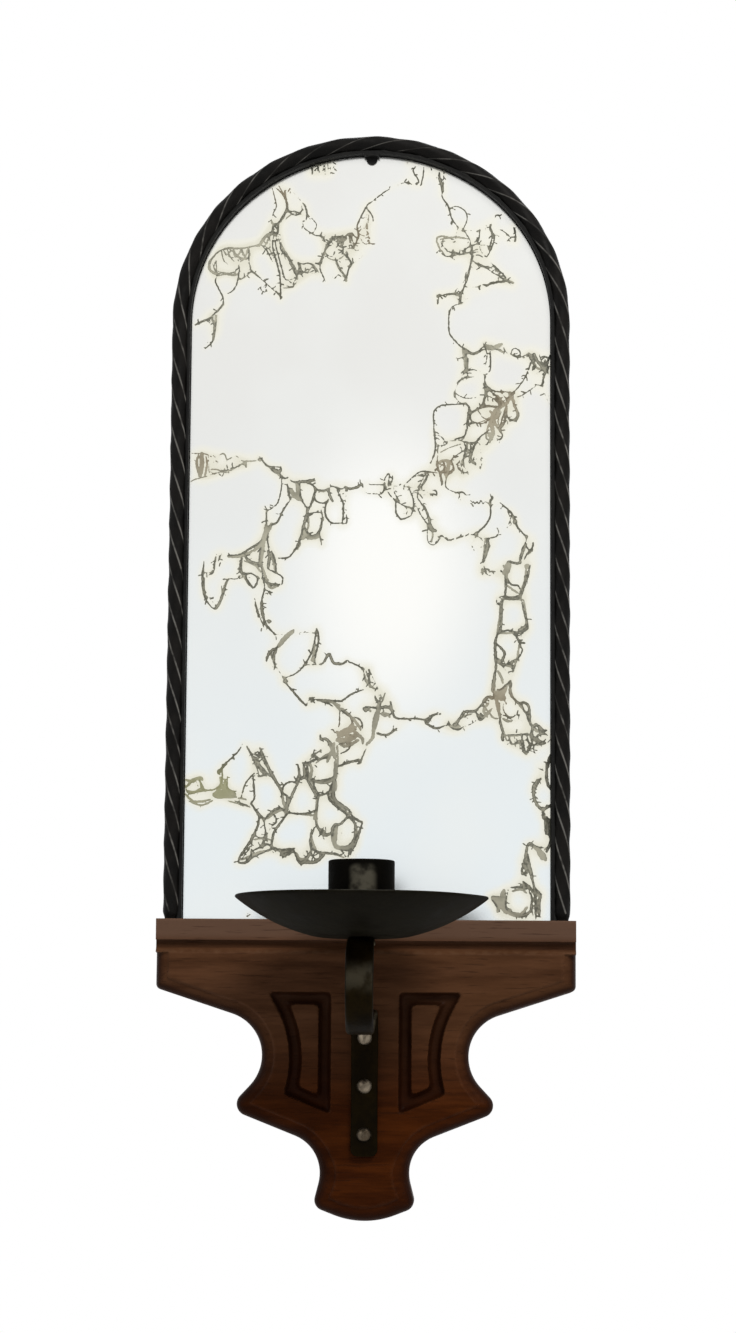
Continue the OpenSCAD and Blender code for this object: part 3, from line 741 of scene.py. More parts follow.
# %% Cup
cup_floor = pan_under + pan_t
cup_out, cup_in, cup_h, rim_r, cup_sides = 13.5, 12.3, 29.9, 0.6, 120
floor_t, rivet_recess_r, rivet_recess_up = 2.0, 4.1, 0.5
wall_up = np.linspace(rim_r, cup_h - rim_r, 30)
rim_round = arc([(cup_out + cup_in) / 2, cup_h - rim_r], rim_r, 0, 180, 9)
cup_profile = np.concatenate(
    [
        [[rivet_r, 0], [8, 0], [12.6, 0], [13.2, 0.1], [13.42, 0.3]],
        np.stack([cup_out + 0 * wall_up, wall_up], -1),
        rim_round[1:-1],
        np.stack([cup_in + 0 * wall_up, wall_up[::-1]], -1)[:-2],
        [[cup_in, floor_t], [rivet_recess_r, floor_t], [rivet_recess_r, rivet_recess_up]],
        [[rivet_r, rivet_recess_up]],
    ]
)
cup = make_piece(
    "rolled_cup",
    turned(cup_profile[:, 0], cup_floor + cup_profile[:, 1], cup_sides, 0.14, 42),
    grid_quads(len(cup_profile), cup_sides, True, True),
    replaces=["candle_cup"],
)

# A broad pale patch on the cup's front is a painted highlight, and its rim is rubbed pale
cup_r, cup_up = cup_profile[:, :1], cup_profile[:, 1:]
highlight_angle, highlight_width = np.pi / 2 - 0.08, 0.42
painted_highlight = np.exp(-(((round_angles(cup_sides) - highlight_angle) / highlight_width) ** 4)) * (cup_r > 13)
painted_highlight = painted_highlight * np.clip((cup_up - 1.0) / 14, 0, 1) * np.clip((cup_h - 0.8 - cup_up) / 3, 0, 1)
mark_points(cup, "ridge", np.maximum(painted_highlight, 0.55 * hump(cup_up, cup_h, 0.4)))

# %% [markdown]
# ## Screws
#
# Three slotted round-head screws hold the strap. A head is a low cap with one slot across it. Rows run
# parallel to the slot, from side to side of the disc, so the slot's walls fall on rows and stay crisp.


# %% Slotted screws
def screw_head(radius, height, slot, depth):
    """Cap of a ball over a disc, cut by a slot. Rows lie at the slot's walls, and columns run between the
    disc's sides."""
    y = np.concatenate(
        [
            -radius * np.cos(np.linspace(0, np.pi / 2, 14))[:-1],
            [-slot / 2 - 0.04, -slot / 2, -slot / 4, slot / 4, slot / 2, slot / 2 + 0.04],
            radius * np.sin(np.linspace(0, np.pi / 2, 14))[1:],
        ]
    )
    y = np.unique(np.round(y, 4))
    half = np.sqrt(np.maximum(radius**2 - y**2, 1e-4))
    across = np.sin(np.linspace(-np.pi / 2, np.pi / 2, 29)) * half[:, None]
    ball = (radius**2 + height**2) / (2 * height)
    along = np.broadcast_to(y[:, None], across.shape)
    up = np.sqrt(ball**2 - across**2 - along**2) - ball + height
    up = np.where(np.abs(along) <= slot / 2 + 1e-6, np.minimum(up, height - depth), up)
    return across, along, np.maximum(up, 0.02)


strap_front = strap_mid + strap_half_t
head_across, head_along, head_up = screw_head(radius=3.1, height=2.3, slot=1.0, depth=0.95)
head_rim = grid_rim(*head_across.shape)
head_points, head_quads, head_backs = [], [], []
offset = 0
for screw_z, slot_degrees in ((-49.8, 80), (-70.0, 35), (-90.2, 60)):
    a = np.radians(slot_degrees)
    head_x = head_across * np.cos(a) - head_along * np.sin(a)
    head_z = head_across * np.sin(a) + head_along * np.cos(a)
    base = drawn(head_x, strap_front, screw_z + head_z)
    head_points += [drawn(head_x, strap_front + head_up, screw_z + head_z), base[head_rim]]
    back_rim = offset + head_across.size + np.arange(len(head_rim))
    head_quads += [offset + grid_quads(*head_across.shape), wall_quads(offset + head_rim, back_rim)]
    head_backs.append(back_rim)
    offset = back_rim[-1] + 1
screws = make_piece(
    "slotted_screws",
    np.concatenate(head_points),
    np.concatenate(head_quads),
    head_backs,
    ["arm_screws"],
    crease=30,
)

# %% [markdown]
# ## Antiqued mirror
#
# The mirror is old-looking silvered glass. Its silver has crept back in a craze of ragged lines with paler
# webs between them, thick near the edges and open in the middle. A noise texture gives crazing too, but
# never these lines, so each stroke is kept as a row of numbers: its width, then x and z of its points. A
# field holds the distance of every place on a fine grid from the nearest stroke, and the outline of the
# field at zero is the edge of the stain. The same distances tint the glass round the lines. A few places
# of the stain itself are brown or yellow-green.

# %% Strokes of the craze
dark_rows = """
0.7 -44 322.5 -42.2 315.5 -42.2 313.5 -43.5 310.5 -44 308;
1.2 -42.5 322.5 -38.8 319 -37.3 314.5 -38 311.5 -41 306.5; 0.8 -39.5 323.5 -38 319;
0.7 -37.5 322 -38.5 319.5; 0.8 -36.3 322.3 -29.8 314.8; 1 -29.8 315 -28.8 312.5 -28.5 309.5 -29 307.5;
0.7 -31 314.5 -30.7 312.5 -31.5 311 -33 310 -35.5 310.8 -37 312.8; 0.6 -37 311.5 -34 311.8 -31 310.5;
0.6 -30.5 309.5 -30.2 306 -29.5 304 -27.5 302.5 -26 302 -24.8 303.5 -24.3 305.8 -25.8 308 -28 310;
0.7 -26 301.5 -24.5 300.8 -22.5 300.7 -21.3 300;
0.7 -41.5 306.5 -43.3 304.5 -43.3 302.5 -42 301 -41.2 303 -41 305.5;
0.9 -43 301 -43.5 298 -43.2 294 -40.8 285.5 -40 281 -39.7 274.5 -40 271;
0.8 -42 300 -42 296 -38.5 283 -37.5 280.8 -36 280.5;
0.8 -40 299.5 -40 295 -38.5 292.5 -36 290 -33.2 283 -32.8 281;
0.5 -38.5 278 -34.8 277.6 -34.2 279.5 -33 281; 0.8 -48 296 -46 294 -43.5 289;
0.8 -58.5 288 -58 285.5 -58.8 280 -60 277 -61.5 275.3 -64 274.2;
0.9 -67.5 283 -68.4 281 -68.3 279.3 -65.5 273.8 -64.9 271.5 -65 269.5; 0.6 -65 269.5 -68.2 266;
0.6 -58.5 281 -56.5 281.8 -55 283.3 -53 284.3 -51 283.5 -43.5 276.8 -40.2 274.5;
0.6 -48.3 278 -48.3 276.3 -46.8 275.2 -45.5 275.8; 0.7 -42 275.5 -39.2 272.5;
0.9 -32.5 288.7 -31.5 287 -31.5 284.5 -32.3 283;
0.7 -31.8 288.5 -30 288 -28 288.3 -26.5 288 -25.3 286.8 -24.5 284.5;
0.7 -31 286.5 -30.5 283 -29.8 281.8; 0.5 -27.5 284.3 -24 283.2; 0.8 -25 288.5 -23 288 -21.8 288.8;
1.2 -22.5 289 -19.8 295; 0.9 -20 295 -17.5 299 -16.3 300; 0.5 -20.3 293 -18.5 291.5 -16.8 291.2;
0.8 -22.5 287.5 -22.3 285 -20 280; 0.7 -18.8 299 -18.8 300.5; 0.7 -16.5 300.2 -12.5 300.2 -11 299.5;
0.7 -15 300 -14.5 297.5; 0.7 -13.5 300.3 -13.5 298; 0.7 -12.3 299.5 -13.3 296; 0.7 -11 300 -12.5 297;
0.7 -16 291 -13.5 285 -12 283 -11 280.5;
0.9 -11 280.5 -9.8 286 -8.8 288 -9.5 290 -10.8 291.5 -10.5 293.5; 0.35 -8.5 288 -6.5 289.2 -3.6 292;
0.9 -10 301 -8.3 295; 0.9 -8.3 295 -5.7 300.3 -6.2 305.5 -2.3 314 -1.2 315.5;
0.7 -10 301.5 -8.5 301.7 -7.2 300.2 -6 300; 0.7 -1.3 315 6 320.8 8.5 322;
0.8 -2.2 313 -0.5 311 0.5 309 0.8 306.5; 0.6 -2 311.5 -2 304; 0.9 -2 305.5 -0.8 297;
0.6 -4.5 302.5 -1.8 306; 0.6 -4.8 299.5 -3.8 297.8 -2.5 296.8 -1 297.5; 0.5 -8 295 -6.5 294 -5.2 294.5;
1.1 -12.5 293 -10.8 290.8; 0.6 -17 282 -16 281.5 -14.5 283 -13 282; 0.6 11 323.5 15.3 325 18 323.7;
0.6 16.2 326.5 16.3 324.5; 0.8 19.5 332.5 18.4 330.5 18.8 328.5 20.3 326.5 20.7 324;
0.8 22.8 332 22.8 329.5 21.8 324 21.2 323.3; 0.4 24.5 329 28 327.5;
1.4 29.8 329.5 29.8 326.5 30.8 323.5 31.2 320.3; 1.2 31.8 329.5 31.3 321;
0.9 31.2 320 31 318.3 33.8 313.8 35.3 308.5 38.2 304.3;
0.7 34.6 312.8 36 313.8 38 313.8 40 312.8 41.5 311.3 42 309.5 41.8 307 40 303; 0.9 38 304.3 36.7 298;
0.35 40 303 47.5 303; 0.7 47.8 304 47.2 299 46.5 297.5; 0.7 50.3 305.5 50 303;
0.7 52.8 306 52 304 54 300 53 295.5 50.3 290; 0.4 53.5 300.5 55 301 56.5 300; 0.6 59.5 301 60 298.5;
0.6 62.3 305 63.4 300 62.8 297.8; 0.9 54.3 308.5 54.8 310 56.5 309.8 57.5 310.5;
0.6 46.5 297 42.5 295.5 40.5 293; 0.4 46.5 297 48.5 296.3 50.5 296.5 52 295;
0.4 47.5 296 48.3 293.5 50 291.8; 1 44.5 296 44 293.5 44.3 291 44 289.5; 0.5 34 298 38.5 297.5;
0.6 36 294.8 35.5 291 36.8 289.7; 0.6 36 293.5 38.5 292.3 41 292.5; 1.1 44 289.8 42.5 282.5 41 278;
0.6 41.8 284.5 41.3 282 41.5 280.5; 0.6 45 291.5 47 292 49 291; 0.6 44.8 289 48.5 287 51.5 286.7 53 286;
0.6 46 288.5 47.5 286.3; 0.9 52.5 288.5 58.3 282.8 58.8 281.5 58 280; 0.9 60 280 62 278;
0.6 58 280 53 279.7 50.5 277.5; 0.8 48 278.5 47.5 277 47.8 276.3; 0.3 42.5 278 45 277.5 47.5 277.8;
1.1 41 278 39.3 273.8 39.2 271.5 39.7 270.3; 0.5 39 274.3 37.5 274.5 33.5 274;
0.7 36.8 275.3 38.3 274.5; 1 30 274.3 29.3 270; 0.5 29.8 274 33 273.3;
0.6 39.5 270.3 35.8 268.8 35 267.5 34.6 265.5; 0.4 40.5 272.5 43.5 272.3;
0.9 34.2 266.8 34.2 258.5 35.2 255.5 39.5 250.8 41 250.2; 0.9 -77 260.5 -70 264;
0.9 -69.5 264 -68.7 259 -69 254.5 -69.8 252.5 -72.8 249.5;
0.6 -49 200 -48 201.5 -45.8 198.5 -44.5 197.5 -39 197; 2.2 41.5 248.5;
0.9 41 250 44.5 247.8 47 248.3 49.5 249.5; 1.3 41.5 248.5 42 241.5 40.3 238;
0.6 42.8 245.5 42 240 42.5 238 42 236; 0.6 37 246 38.5 245.5 40.5 246; 0.5 50 254 50.3 251;
0.9 52.3 249.5 52.5 243 52.2 240 51.3 239.3; 0.4 58 251 59 248.8 60.5 247;
0.8 61.5 247.5 62 249.5 63.5 250 65 249 65.5 247.5 64 246.5 62.5 246.8 63.5 248.5;
0.5 66.5 245.5 69.5 246.8; 0.8 69 247.5 70.3 246.3 70 243.5 67.8 237.5 64.3 232.3 61 229.3;
1.4 70.3 246 71.5 247.5 72.3 245.5 76 240; 0.7 71 243.5 72 242 71.5 240.5;
1.2 79 248.5 76.5 240.5 75 233.5; 1 79 243 77 239.5; 1.6 72 234 75 233.3; 0.8 75 232.5 78 225.3;
0.8 77.5 229 79.3 227.5; 0.7 72 233 66 229 63.5 228.2; 0.8 40 239.5 44.5 240.5 46.5 240;
0.8 47.5 240 50 238; 0.8 50 238 50 235.5 50.8 231;
0.8 50.8 233.5 52 232 53.5 231.3 55.5 230.8 61.5 230.5; 2 51.3 231.5; 0.8 50.3 230.5 50 228 48.8 224.5;
0.9 52.5 231 56 227.5 57.5 224.5; 1.1 48.8 224.5 55.5 224 57 224.5;
0.7 62.8 227 63 224.5 64.8 220.5 63.8 218.8 62 217.8 60 217.5; 0.9 59.5 225 58.7 217.5 57.5 215.5;
1 55.5 214.8 57 214.5 58 216.5;
0.3 40.5 236.5 38.5 234.5 37.3 232 36.9 230 37.2 228.3 39 226 41.5 225.3; 1 36.7 230.2 36.7 227.8;
0.9 41.5 225.2 33 224.8 30.5 224.3 28.5 222.7 27.7 220.5 28 211.5;
1.2 41.5 225.5 42.8 224.3 43.3 222.3 42.5 217.5 42.4 213.5; 0.7 43 222 44.5 221.5 48.7 224.3;
0.7 44 221.5 43.8 219 44.8 217.3 49 216.5 52.8 218.8; 1.3 44 216.5;
1 42 213.5 41.5 211.5 40.5 210.5 36.8 209.3; 0.4 36.5 209 33.5 207.8; 0.9 28 213 28.5 205 26.5 198.5;
0.7 29 211.3 30.5 211 31.8 209.8 33.3 207.3 30 206.5; 1.3 29.8 207 29.3 198;
0.7 35 199.5 36.5 201.5 41 204.5; 1.4 41 208.5 45.5 208; 1 41 208 41.8 205.5 40.8 200.5 41 198;
0.8 44 207.5 43.8 201.5 44.8 199; 0.9 52.5 214 47 209.3 44 202; 0.5 46.5 208 51 207;
0.5 51 205.3 52 204.8; 0.4 48.5 204 48.3 200.5; 0.6 56.5 214 58 211; 0.5 -48 201 -43 196.3;
1.8 -43 196.3 -39.8 195 -38.8 196; 0.9 -39.5 194.5 -38.5 193 -37 192 -35.5 192.5;
0.7 -34.8 191.5 -33.5 190.5 -32 190.3;
0.8 -38.3 193 -38.5 187 -39.8 181.5 -41.5 179.5 -44 178 -46 178.5; 0.5 -44.7 177.5 -44.8 172 -45.3 170;
1.2 -35.8 189.5 -35 184.5 -34 182.8; 1.4 -32.5 190.3 -26 191 -24 191.8; 1 -30.5 190 -30 184 -27.8 179.5;
1.2 -27 189.7 -24.8 189 -23.7 187.5 -24 185 -25.8 179.5 -26.8 178;
1.3 -27.5 179.5 -27 177.5 -29.3 168.5; 1.1 -34.5 182.5 -37.5 178 -39.8 173 -42 171.5 -44 170.8;
0.9 -44 168 -44.2 165 -43.5 160; 1.2 -46.5 165 -48.5 163 -56 158.3; 2 -56 158.3 -61.5 157.8;
1.4 -54 158.5 -53 156.5 -51 155 -46.5 154; 1.2 -47 161.5 -47.5 156 -47 154;
1.6 -44 160 -43.3 157.5 -43.8 152.5; 0.9 -42.3 160 -40.7 155 -40.3 150.5; 1.6 -42 158 -41.5 155;
1 -55 157.5 -55.8 155 -56 152.5 -55.5 150.5 -53.5 149.8 -51 150 -47.5 147.8; 1.2 -52.5 155.5 -47.5 153;
1.6 -46.8 154 -45.8 147; 1.1 -53.5 149.8 -53 147.5 -50.3 143.8 -49 145 -48.3 147 -48.5 148.5;
1.3 -46 148 -43 145.5 -38.8 145; 0.9 -43.8 152 -37.8 148.7 -37.5 146.5 -38 144.5;
1.2 -42.5 144.5 -44 140.5; 1 -45.3 145.5 -45.3 143 -46.5 137 -46 132; 1.4 -49.5 139 -47.8 131;
1 -65 156.5 -64 159; 0.5 -66.2 158.5 -68.3 150.5; 1.1 -71.7 155.3 -72.3 146.5 -71.2 141;
0.6 -72 150.3 -68.5 150.3; 0.8 -71 140.5 -65.5 135.5; 0.9 -61 147.5 -62.3 144.5 -64 138.5 -66.3 134.5;
1 -64 144.5 -63.5 142; 0.6 -61 147.7 -58.5 147.5 -55.2 148; 0.8 -55.3 156 -55 148.5;
1.4 -28.5 171 -26 167 -24 166.5 -22.5 167.5 -21.3 169.5 -20.3 174.5; 1.3 -29 168.5 -31 162.5 -32.5 160;
1.2 -21.5 167 -21 162.5; 1 -32.5 160 -34.3 157.7 -36.5 156.8 -39.5 156.8;
0.9 -27.5 173 -26.3 175.5 -24.5 176.8 -21.3 177; 1.5 -21 178 -20.3 174;
0.8 -23.5 187.5 -21.5 186.8 -18 187; 0.9 -24 184 -23.3 182.3 -21.5 181.2 -19.5 181.2 -18 182.5;
0.7 -17.7 187.5 -16.5 188.5 -14.5 188 -13 186.5; 1.4 -18 187.3 -17.5 185 -15.8 181.5;
1 -18 182.5 -19 180 -19.3 177.5 -18.8 175 -17.5 173.3 -16 172.3 -12.3 172.2;
1 -14.3 187 -11.8 182 -11.3 179 -11.7 171.8; 1 -10.2 188 -10.3 181.5; 0.6 -14 188 -12 187.5 -10.5 188.3;
0.9 -10 176 -9.7 173.5 -10 172; 1.4 -10.5 188.3 -8.5 187.5 -5 188.3 -3.5 189.5 -2.8 188;
0.5 -3 187 -1.5 185.8 0 185.3 5 185.2; 0.6 -0.5 190.2 0.3 189.3 6.5 189.3;
0.9 5.3 185.2 6.3 187 6.6 189; 0.7 6.6 189 6.5 191.5 7.5 193.5 8.5 194 8.2 189;
0.8 10 193.5 9.8 191 8.5 189.5; 0.7 8.2 189 17 188.3;
0.7 7 188.5 8 186 11.3 182.3 15.5 179.8 17.5 179.3; 0.7 10.5 188 11 185.5 13 182;
0.9 17 188.2 18.8 183.5 19.2 181 19 178.5 18.2 176; 1 11.5 182.5 11.5 177.5 12.5 175.5 14 174 18 175.5;
1.4 17.5 179.3 20 177.5; 0.4 15.5 179.5 16.5 178 16 176; 0.8 15 189 21 194.5 24.5 195.2 29 194.5;
1.2 24.5 194.5 21.3 188.3; 1 25.5 194 24.5 191.5 22.3 188; 0.5 17.5 188 21 188.3;
0.7 21.5 188 20.8 184.5 21.5 182.5 24 179; 0.4 21.5 185 26.5 184.7;
0.9 26.5 184.7 28 185.3 29.2 184.7 29 186.5 27 187; 1.3 23.5 180.3 25.5 175.8 27 169.5;
0.7 20.3 180 23 175 25.7 171.3; 2 26 171.5 27.3 169.5 28.8 169; 0.5 26 174 28.5 174;
0.6 25.3 171 25.3 165.3 26.3 163.3 28 162.8 29.5 163.8 30.3 165.5;
0.6 30.5 166.5 31.5 167 34 164.8 35.3 164.7; 0.4 37.5 165 40 166.7 42 166.5;
1 43.3 167.3 45 167.3 46.5 168 49.8 170.8 51.3 172.8 52.4 175 52.7 177.5 52.3 182.5; 1.5 46.5 167.5;
0.7 46.8 168 44.5 162.3; 0.35 46.5 166.5 50.5 165.5; 0.8 50.5 165.5 54.5 166.3 55.8 167.3 56.3 169.3;
1.6 50.8 165.5 51.5 163.5 49.5 155; 1 52.5 162.5 50.5 158; 0.9 48 161.5 50.5 163;
0.9 49 152.5 49.2 150.3; 0.6 49.3 152 54.8 151.2; 0.7 33.5 193 33 189 34 187.5 37.5 185.8;
1.2 30.5 195 31.5 190 31.3 189; 1.2 29.5 200 29.5 197 30 195; 1 31.5 200 32.5 198.5 32.3 196 31.5 194.8;
0.9 35.5 200 36.2 198 36.2 196 33.8 193.5; 0.9 31 195 33.5 194.7 35.5 195.3; 1.2 39 200 41 194.3;
0.8 38 198.5 38.7 196.5 40 195; 0.5 40 194 40.2 191.5; 0.6 43.5 201 44.5 199.5 46 199 46.3 198;
0.6 42.5 195 43 193.8; 0.4 48.5 200.5 48.8 198.5 48 196.5; 0.9 37.5 185.8 40.5 186 41.8 184.8;
0.8 39 185.5 39.8 182;
0.8 43.5 181.3 44.5 181 45 182 45.8 181 46.8 181.8 47.5 181 48.5 182.3 49.3 181 50.3 181.8 51.5 181.2;
0.9 52.3 180.5 53.5 184.3 53.8 183; 1.1 56.7 181.5 61.3 177.3 63.5 173.5 64 171.5 65 169.8 68 166.7;
1.6 63 173; 0.9 60.8 176 61.8 170.5; 1.4 68.3 166.5; 0.8 68.2 165.5 67.8 163.5 68.5 161.5 69.5 160.3;
0.9 71.2 164 71 162 68.3 158.5 67.3 156.5; 1.3 68 163 66.8 161.5 65.3 155;
1.3 59.5 155 61 155.5 64 154.7 66 155; 1.2 57.3 151.3; 1.3 59 150 59.3 145 59 140.5;
1 60.3 148 61 146 62.5 145.2 64.5 145 65.5 143.8; 1.3 69.8 154 68.5 148.5 65.8 140.5;
1 57 140.3 61.5 139.8 63.5 140.2 65.5 140.8 66 143; 0.9 59 139 64 139 65.5 139.8;
0.7 55.5 139.5 55.3 137.5 56.3 136.8 57.5 137.3 58 139; 1.3 58 138.5 57.2 131; 1.1 65.8 139.5 68 132;
1.2 -46.3 137 -45.8 132 -44.3 127.5 -40.5 123.3; 2 -43 129; 1.3 -49.3 136.5 -45.3 126.2;
0.8 -40.5 123.2 -36.5 123.3; 1.4 -39.5 117 -40.7 114.5 -40.8 112 -40.3 110;
1.4 -39 118 -41.5 116.5 -43 115 -43.8 113 -44 111; 0.9 -42 114.5 -41.8 112.8;
0.9 -41.5 109.3 -40.3 108.5; 1.2 -40.3 110 -35.5 102.5; 2 -35.8 103;
1 -35.5 104.5 -31.3 106.3 -27.8 109.7 -26.3 112 -24 117 -22.5 125.5;
1 -22.5 126 -21.5 121.5 -23.5 110.5; 0.8 -30.5 124.3 -23 124; 0.9 -27.5 110 -20.5 110.3;
1.5 -20.5 110.3 -19 111.5 -17 114.8 -15 111 -11.3 110.5 -10 111.2;
0.9 -10 111.5 -9 112.3 -8.2 111.3 -6.5 110.8 -2 108.3; 1.3 -2.5 109 -1 102.5; 1.2 -1 108 0.8 101;
1.2 -35.5 102 -28 93.5 -26.3 92.3; 1 -25 96 -24.3 94;
1.1 -24.5 95.5 -22.5 95 -12.5 94.3 -10.5 95 -6.5 97.7 -1.5 99.5; 0.9 -20 94 -17 93.2 -15 92;
1.2 -11.8 90.5 -8 88 -6.8 86.3 -6.8 84; 0.8 -12.2 90 -12.2 85 -12.8 82.5;
1 -6 87.5 -4.5 87 -3 85.8 -2.3 84 -2.5 82; 0.9 -20.5 79.8 -20.3 78 -19.5 77.3;
1.6 -19.5 78 -18 77.8 -16.5 76.5 -15.5 74.8; 0.8 -16.5 82 -15 81.8 -14 80.5; 0.8 -24 70.5 -19.3 73.8;
0.8 -24.3 71.5 -23.5 69.8; 1.2 -28 67.5 -25 67.8 -22 69 -17 69.8;
0.9 -13 75.5 -9 76.5 -7.5 75.5 -8 73.8 -10 72.3 -12.5 71.3; 1 0 75 -3.8 67;
0.8 -3.5 69.5 -5.5 68.5 -10.5 67.5; 0.9 -54 75.5 -55.3 73 -57 71 -61 67.3 -62.5 66.5;
1.1 -52 74.5 -48 66.5; 1 -46.5 74 -43.5 67; 0.6 -49 70.5 -47.3 72.3 -45.3 69.8 -47 68 -49 70.5;
2 -2 91.5 -1 90.5 0 91; 1.4 0.3 108 0.9 101; 1 0.5 108 4.3 99.8; 1 0.8 100.5 4 99.5;
1.3 -1 92 5 91.3 7 92 9 91.8 10.3 90.5 11 88.5 12 87.3 13.8 86.8 15.5 87; 1.2 3 97 3.5 95 5 93.5 5 91.5;
0.7 5.5 97.5 5.7 95.3; 0.7 7.5 98 6 94; 0.8 10 94.3 10 92 10.5 90.5; 0.6 4 80 8.5 80 13 82.8;
0.5 15.5 87 24 86.3; 1.3 28 88.3 26 85.5 25 85.5 26 84.3 29.5 82.7 33 83.8;
0.4 28.5 88.5 30 89.5 31.5 89; 0.9 33.8 83.8 34.8 84.8 35.5 84; 0.9 34.7 86 34.8 84;
0.9 35.5 83.3 37 82.5 39 82.2 40.5 83; 1.8 37.5 84.3; 1.4 37.5 83.5 40.8 88.8 42.3 90 46 90.3 47.5 91.5;
1.2 41.5 87.5 43 88.8; 0.5 40.5 83 45 85 46.8 86.3; 1.3 46.5 90 48.3 86.5 49.5 87.5 48.5 89.5;
1.4 47.5 91.5 49.3 93.3 50.3 95.3 51.5 96.3 53 96.5 54 96; 1 50.5 94.5 54.5 95.8; 1.2 54 96 54.3 101;
1.2 53.5 100 54.6 105; 1.4 57.3 137 57.3 128.5 56.5 124; 1.1 66.5 137 68.8 127 68.3 126;
1.6 68.3 128 67 126.5 65 125.5; 1.1 56.5 124.7 60.5 125.3 64.5 124.3 66.5 124.5 68.5 126;
1.4 56 124.5 54.7 119.5 55.2 109; 1.1 62.5 124 64 122.5 65.6 119; 0.8 66 124 65.7 119;
0.9 65.6 118.5 66.5 117 64.8 113.5 61.5 111.2; 1.4 55.5 119.5 58.3 116.5 58.7 114.5 57 110.8;
1.2 57 111.2 59 110.5 61 111 63 112.3; 1.3 62 111 62.5 107; 1 64.3 112.5 62.8 107.8;
1.1 57 110.8 61 106; 1.3 55.2 110 53.7 100.5 53.8 98.5; 1 61.5 103.5 57.3 99.8 55.8 99.7;
1.4 61.3 103.5 61.5 101 61 99 61.8 97; 1.2 61.5 97.5 63 95.5 64.8 94 66.5 93.8;
1.4 66.5 94.5 68 93.8 69.3 92 69.8 85; 0.9 66.5 93 67.3 90.5 68.5 88.5 69 86;
0.6 59 95 58.3 92.5 58.5 90.5 60 88 62 86.5 64 86; 0.5 64 88.5 65.3 88.8 64.8 87 66.5 86;
1.3 57 87.5 57 85 58.3 80.5; 1.6 58.3 80.5 57.8 78.5 58.5 77.3; 0.7 60 80 68 80.3 70 80;
1 60.5 79.5 62 76; 1 62.5 76 65.5 76.7; 1 64 78.5 64.3 76.5; 1 66.5 80 66.3 77.5 66.8 73.3 68 71.8;
1 68.5 80 68.7 77.8 69.5 75.5 68.2 71.8; 1.4 69.8 85 71 83.5 72.5 84.5 75.5 82 76.8 82.3;
1.5 71 84 70.5 80 71.3 78.5 73 78 75.3 76.5; 1.1 76.5 80.5 74.5 80.5 73 79.5 72 78;
0.9 73.5 83.5 74 81.5 75.5 80.8; 0.7 73.5 76.5 72 76 71.3 74 72 72; 0.4 76.5 80.3 79.3 78.5 80 77;
1 79.8 73 78.5 71.5 77 67.5; 0.9 -78 57 -76 58.5 -74.5 60.5; 0.9 -74 60 -72 55.5;
0.9 -78.5 58 -77.5 55 -76 54 -71 55.3 -67 55.5; 1.1 -72.5 60.5 -70.5 56 -69.5 55.3;
1 -71.8 50.5 -71.8 48; 1.1 -60.5 67 -64.5 63.5 -63.5 62.3;
1 -62.5 64.5 -62.5 59.5 -63.5 57.5 -65.5 56 -67 55.5; 1 -60.3 61.5 -60.3 57 -59 55.5 -56 55;
0.9 -54.3 52 -53 57 -51.8 59.5 -48.8 63; 1.1 -49.2 61.5 -48.5 54 -48.8 51.5 -50 50;
0.9 -50.5 58.5 -50 56.5; 1 -48.3 67 -46.3 61.8; 0.8 -47 66.5 -45 62.8; 0.8 -44.5 64.8 -42 61.5;
1 -43.8 67 -40 60 -37.2 56 -36.8 54 -37 52; 1 -36.5 55.5 -36.2 57 -35 58.5 -33 59.3 -31 59.3 -30 60;
1.4 -36 54.3 -34.5 53 -34.3 50 -35 46; 1.4 -30 58.5 -34.5 48.5 -35 46; 1.3 -30 67 -29.3 62 -30.3 58.5;
1.6 -27.5 67 -27 62 -28.5 60.5; 1 -26 67 -25.7 62 -26 60.5; 0.9 -23 67 -22 63.5;
1.4 -26 60.5 -22.3 54 -21 52.5; 1.4 -24.5 60.2 -20 59.8 -14.5 61;
1 -23.5 60 -22 55.5 -20.8 53.8 -19.3 53.8 -16.5 55.3 -15.5 58.5;
1.8 -13.5 67 -14.7 54.5 -14 52 -12.5 50.3 -8.5 47.8 -7 46.3; 1.2 -17 54.3 -15.5 50.8 -8 44.8;
1.2 -13 66 -11 66.3; 1.2 -21 52.5 -21.5 48 -22.5 46.8 -28 45.5 -34 46;
1.1 -22.3 43 -21.5 40.5 -19.5 37 -17.5 36.3 -16 36.8; 0.7 -19.3 38.6 -18.5 39.9;
0.7 -18.2 37.6 -17.4 38.6; 1.3 -22.5 39.5 -23.7 37 -24.3 34 -23.7 30;
1.2 -23.7 31 -21.5 29.5 -19 28.8 -13.5 28.5 -11.5 27.7; 1.3 -34 46 -39.3 38.5 -40.3 36 -41 31;
1.2 -35 46.5 -36.5 47.5 -38.5 47.8 -40.5 46.8 -44.3 42.8;
0.9 -40.8 45.5 -39.5 44.5 -39 43 -39.3 41.5 -40.5 40.5; 1.2 -50 50 -47.5 46.5 -44 43;
1.3 -47.3 46.3 -46.5 44 -47 40 -49.8 34 -53.8 28 -54.8 26 -54.8 24.5;
0.9 -44.5 43 -43.5 37.3 -44 35.5 -45.3 35 -47 35.5 -48.3 36.5; 0.9 -40.5 41 -43.8 35;
1.1 -43 35.5 -44.3 33.5 -44.8 31.5; 1.1 -41 31.5 -42.5 32.3 -44 32 -45 31; 1.2 -49.3 36 -49.5 29;
0.9 -49.3 29.3 -46 31 -45 32.5; 1.3 -54.8 24.3 -53 24.2 -51 25 -50 26.5 -49.5 28.5;
1.6 -53.5 26 -50.5 30.5; 0.7 -50 26 -42 30 -40.5 30.3 -39 29.5; 1.1 -40.3 31 -37 30 -33 30.5 -31.5 30;
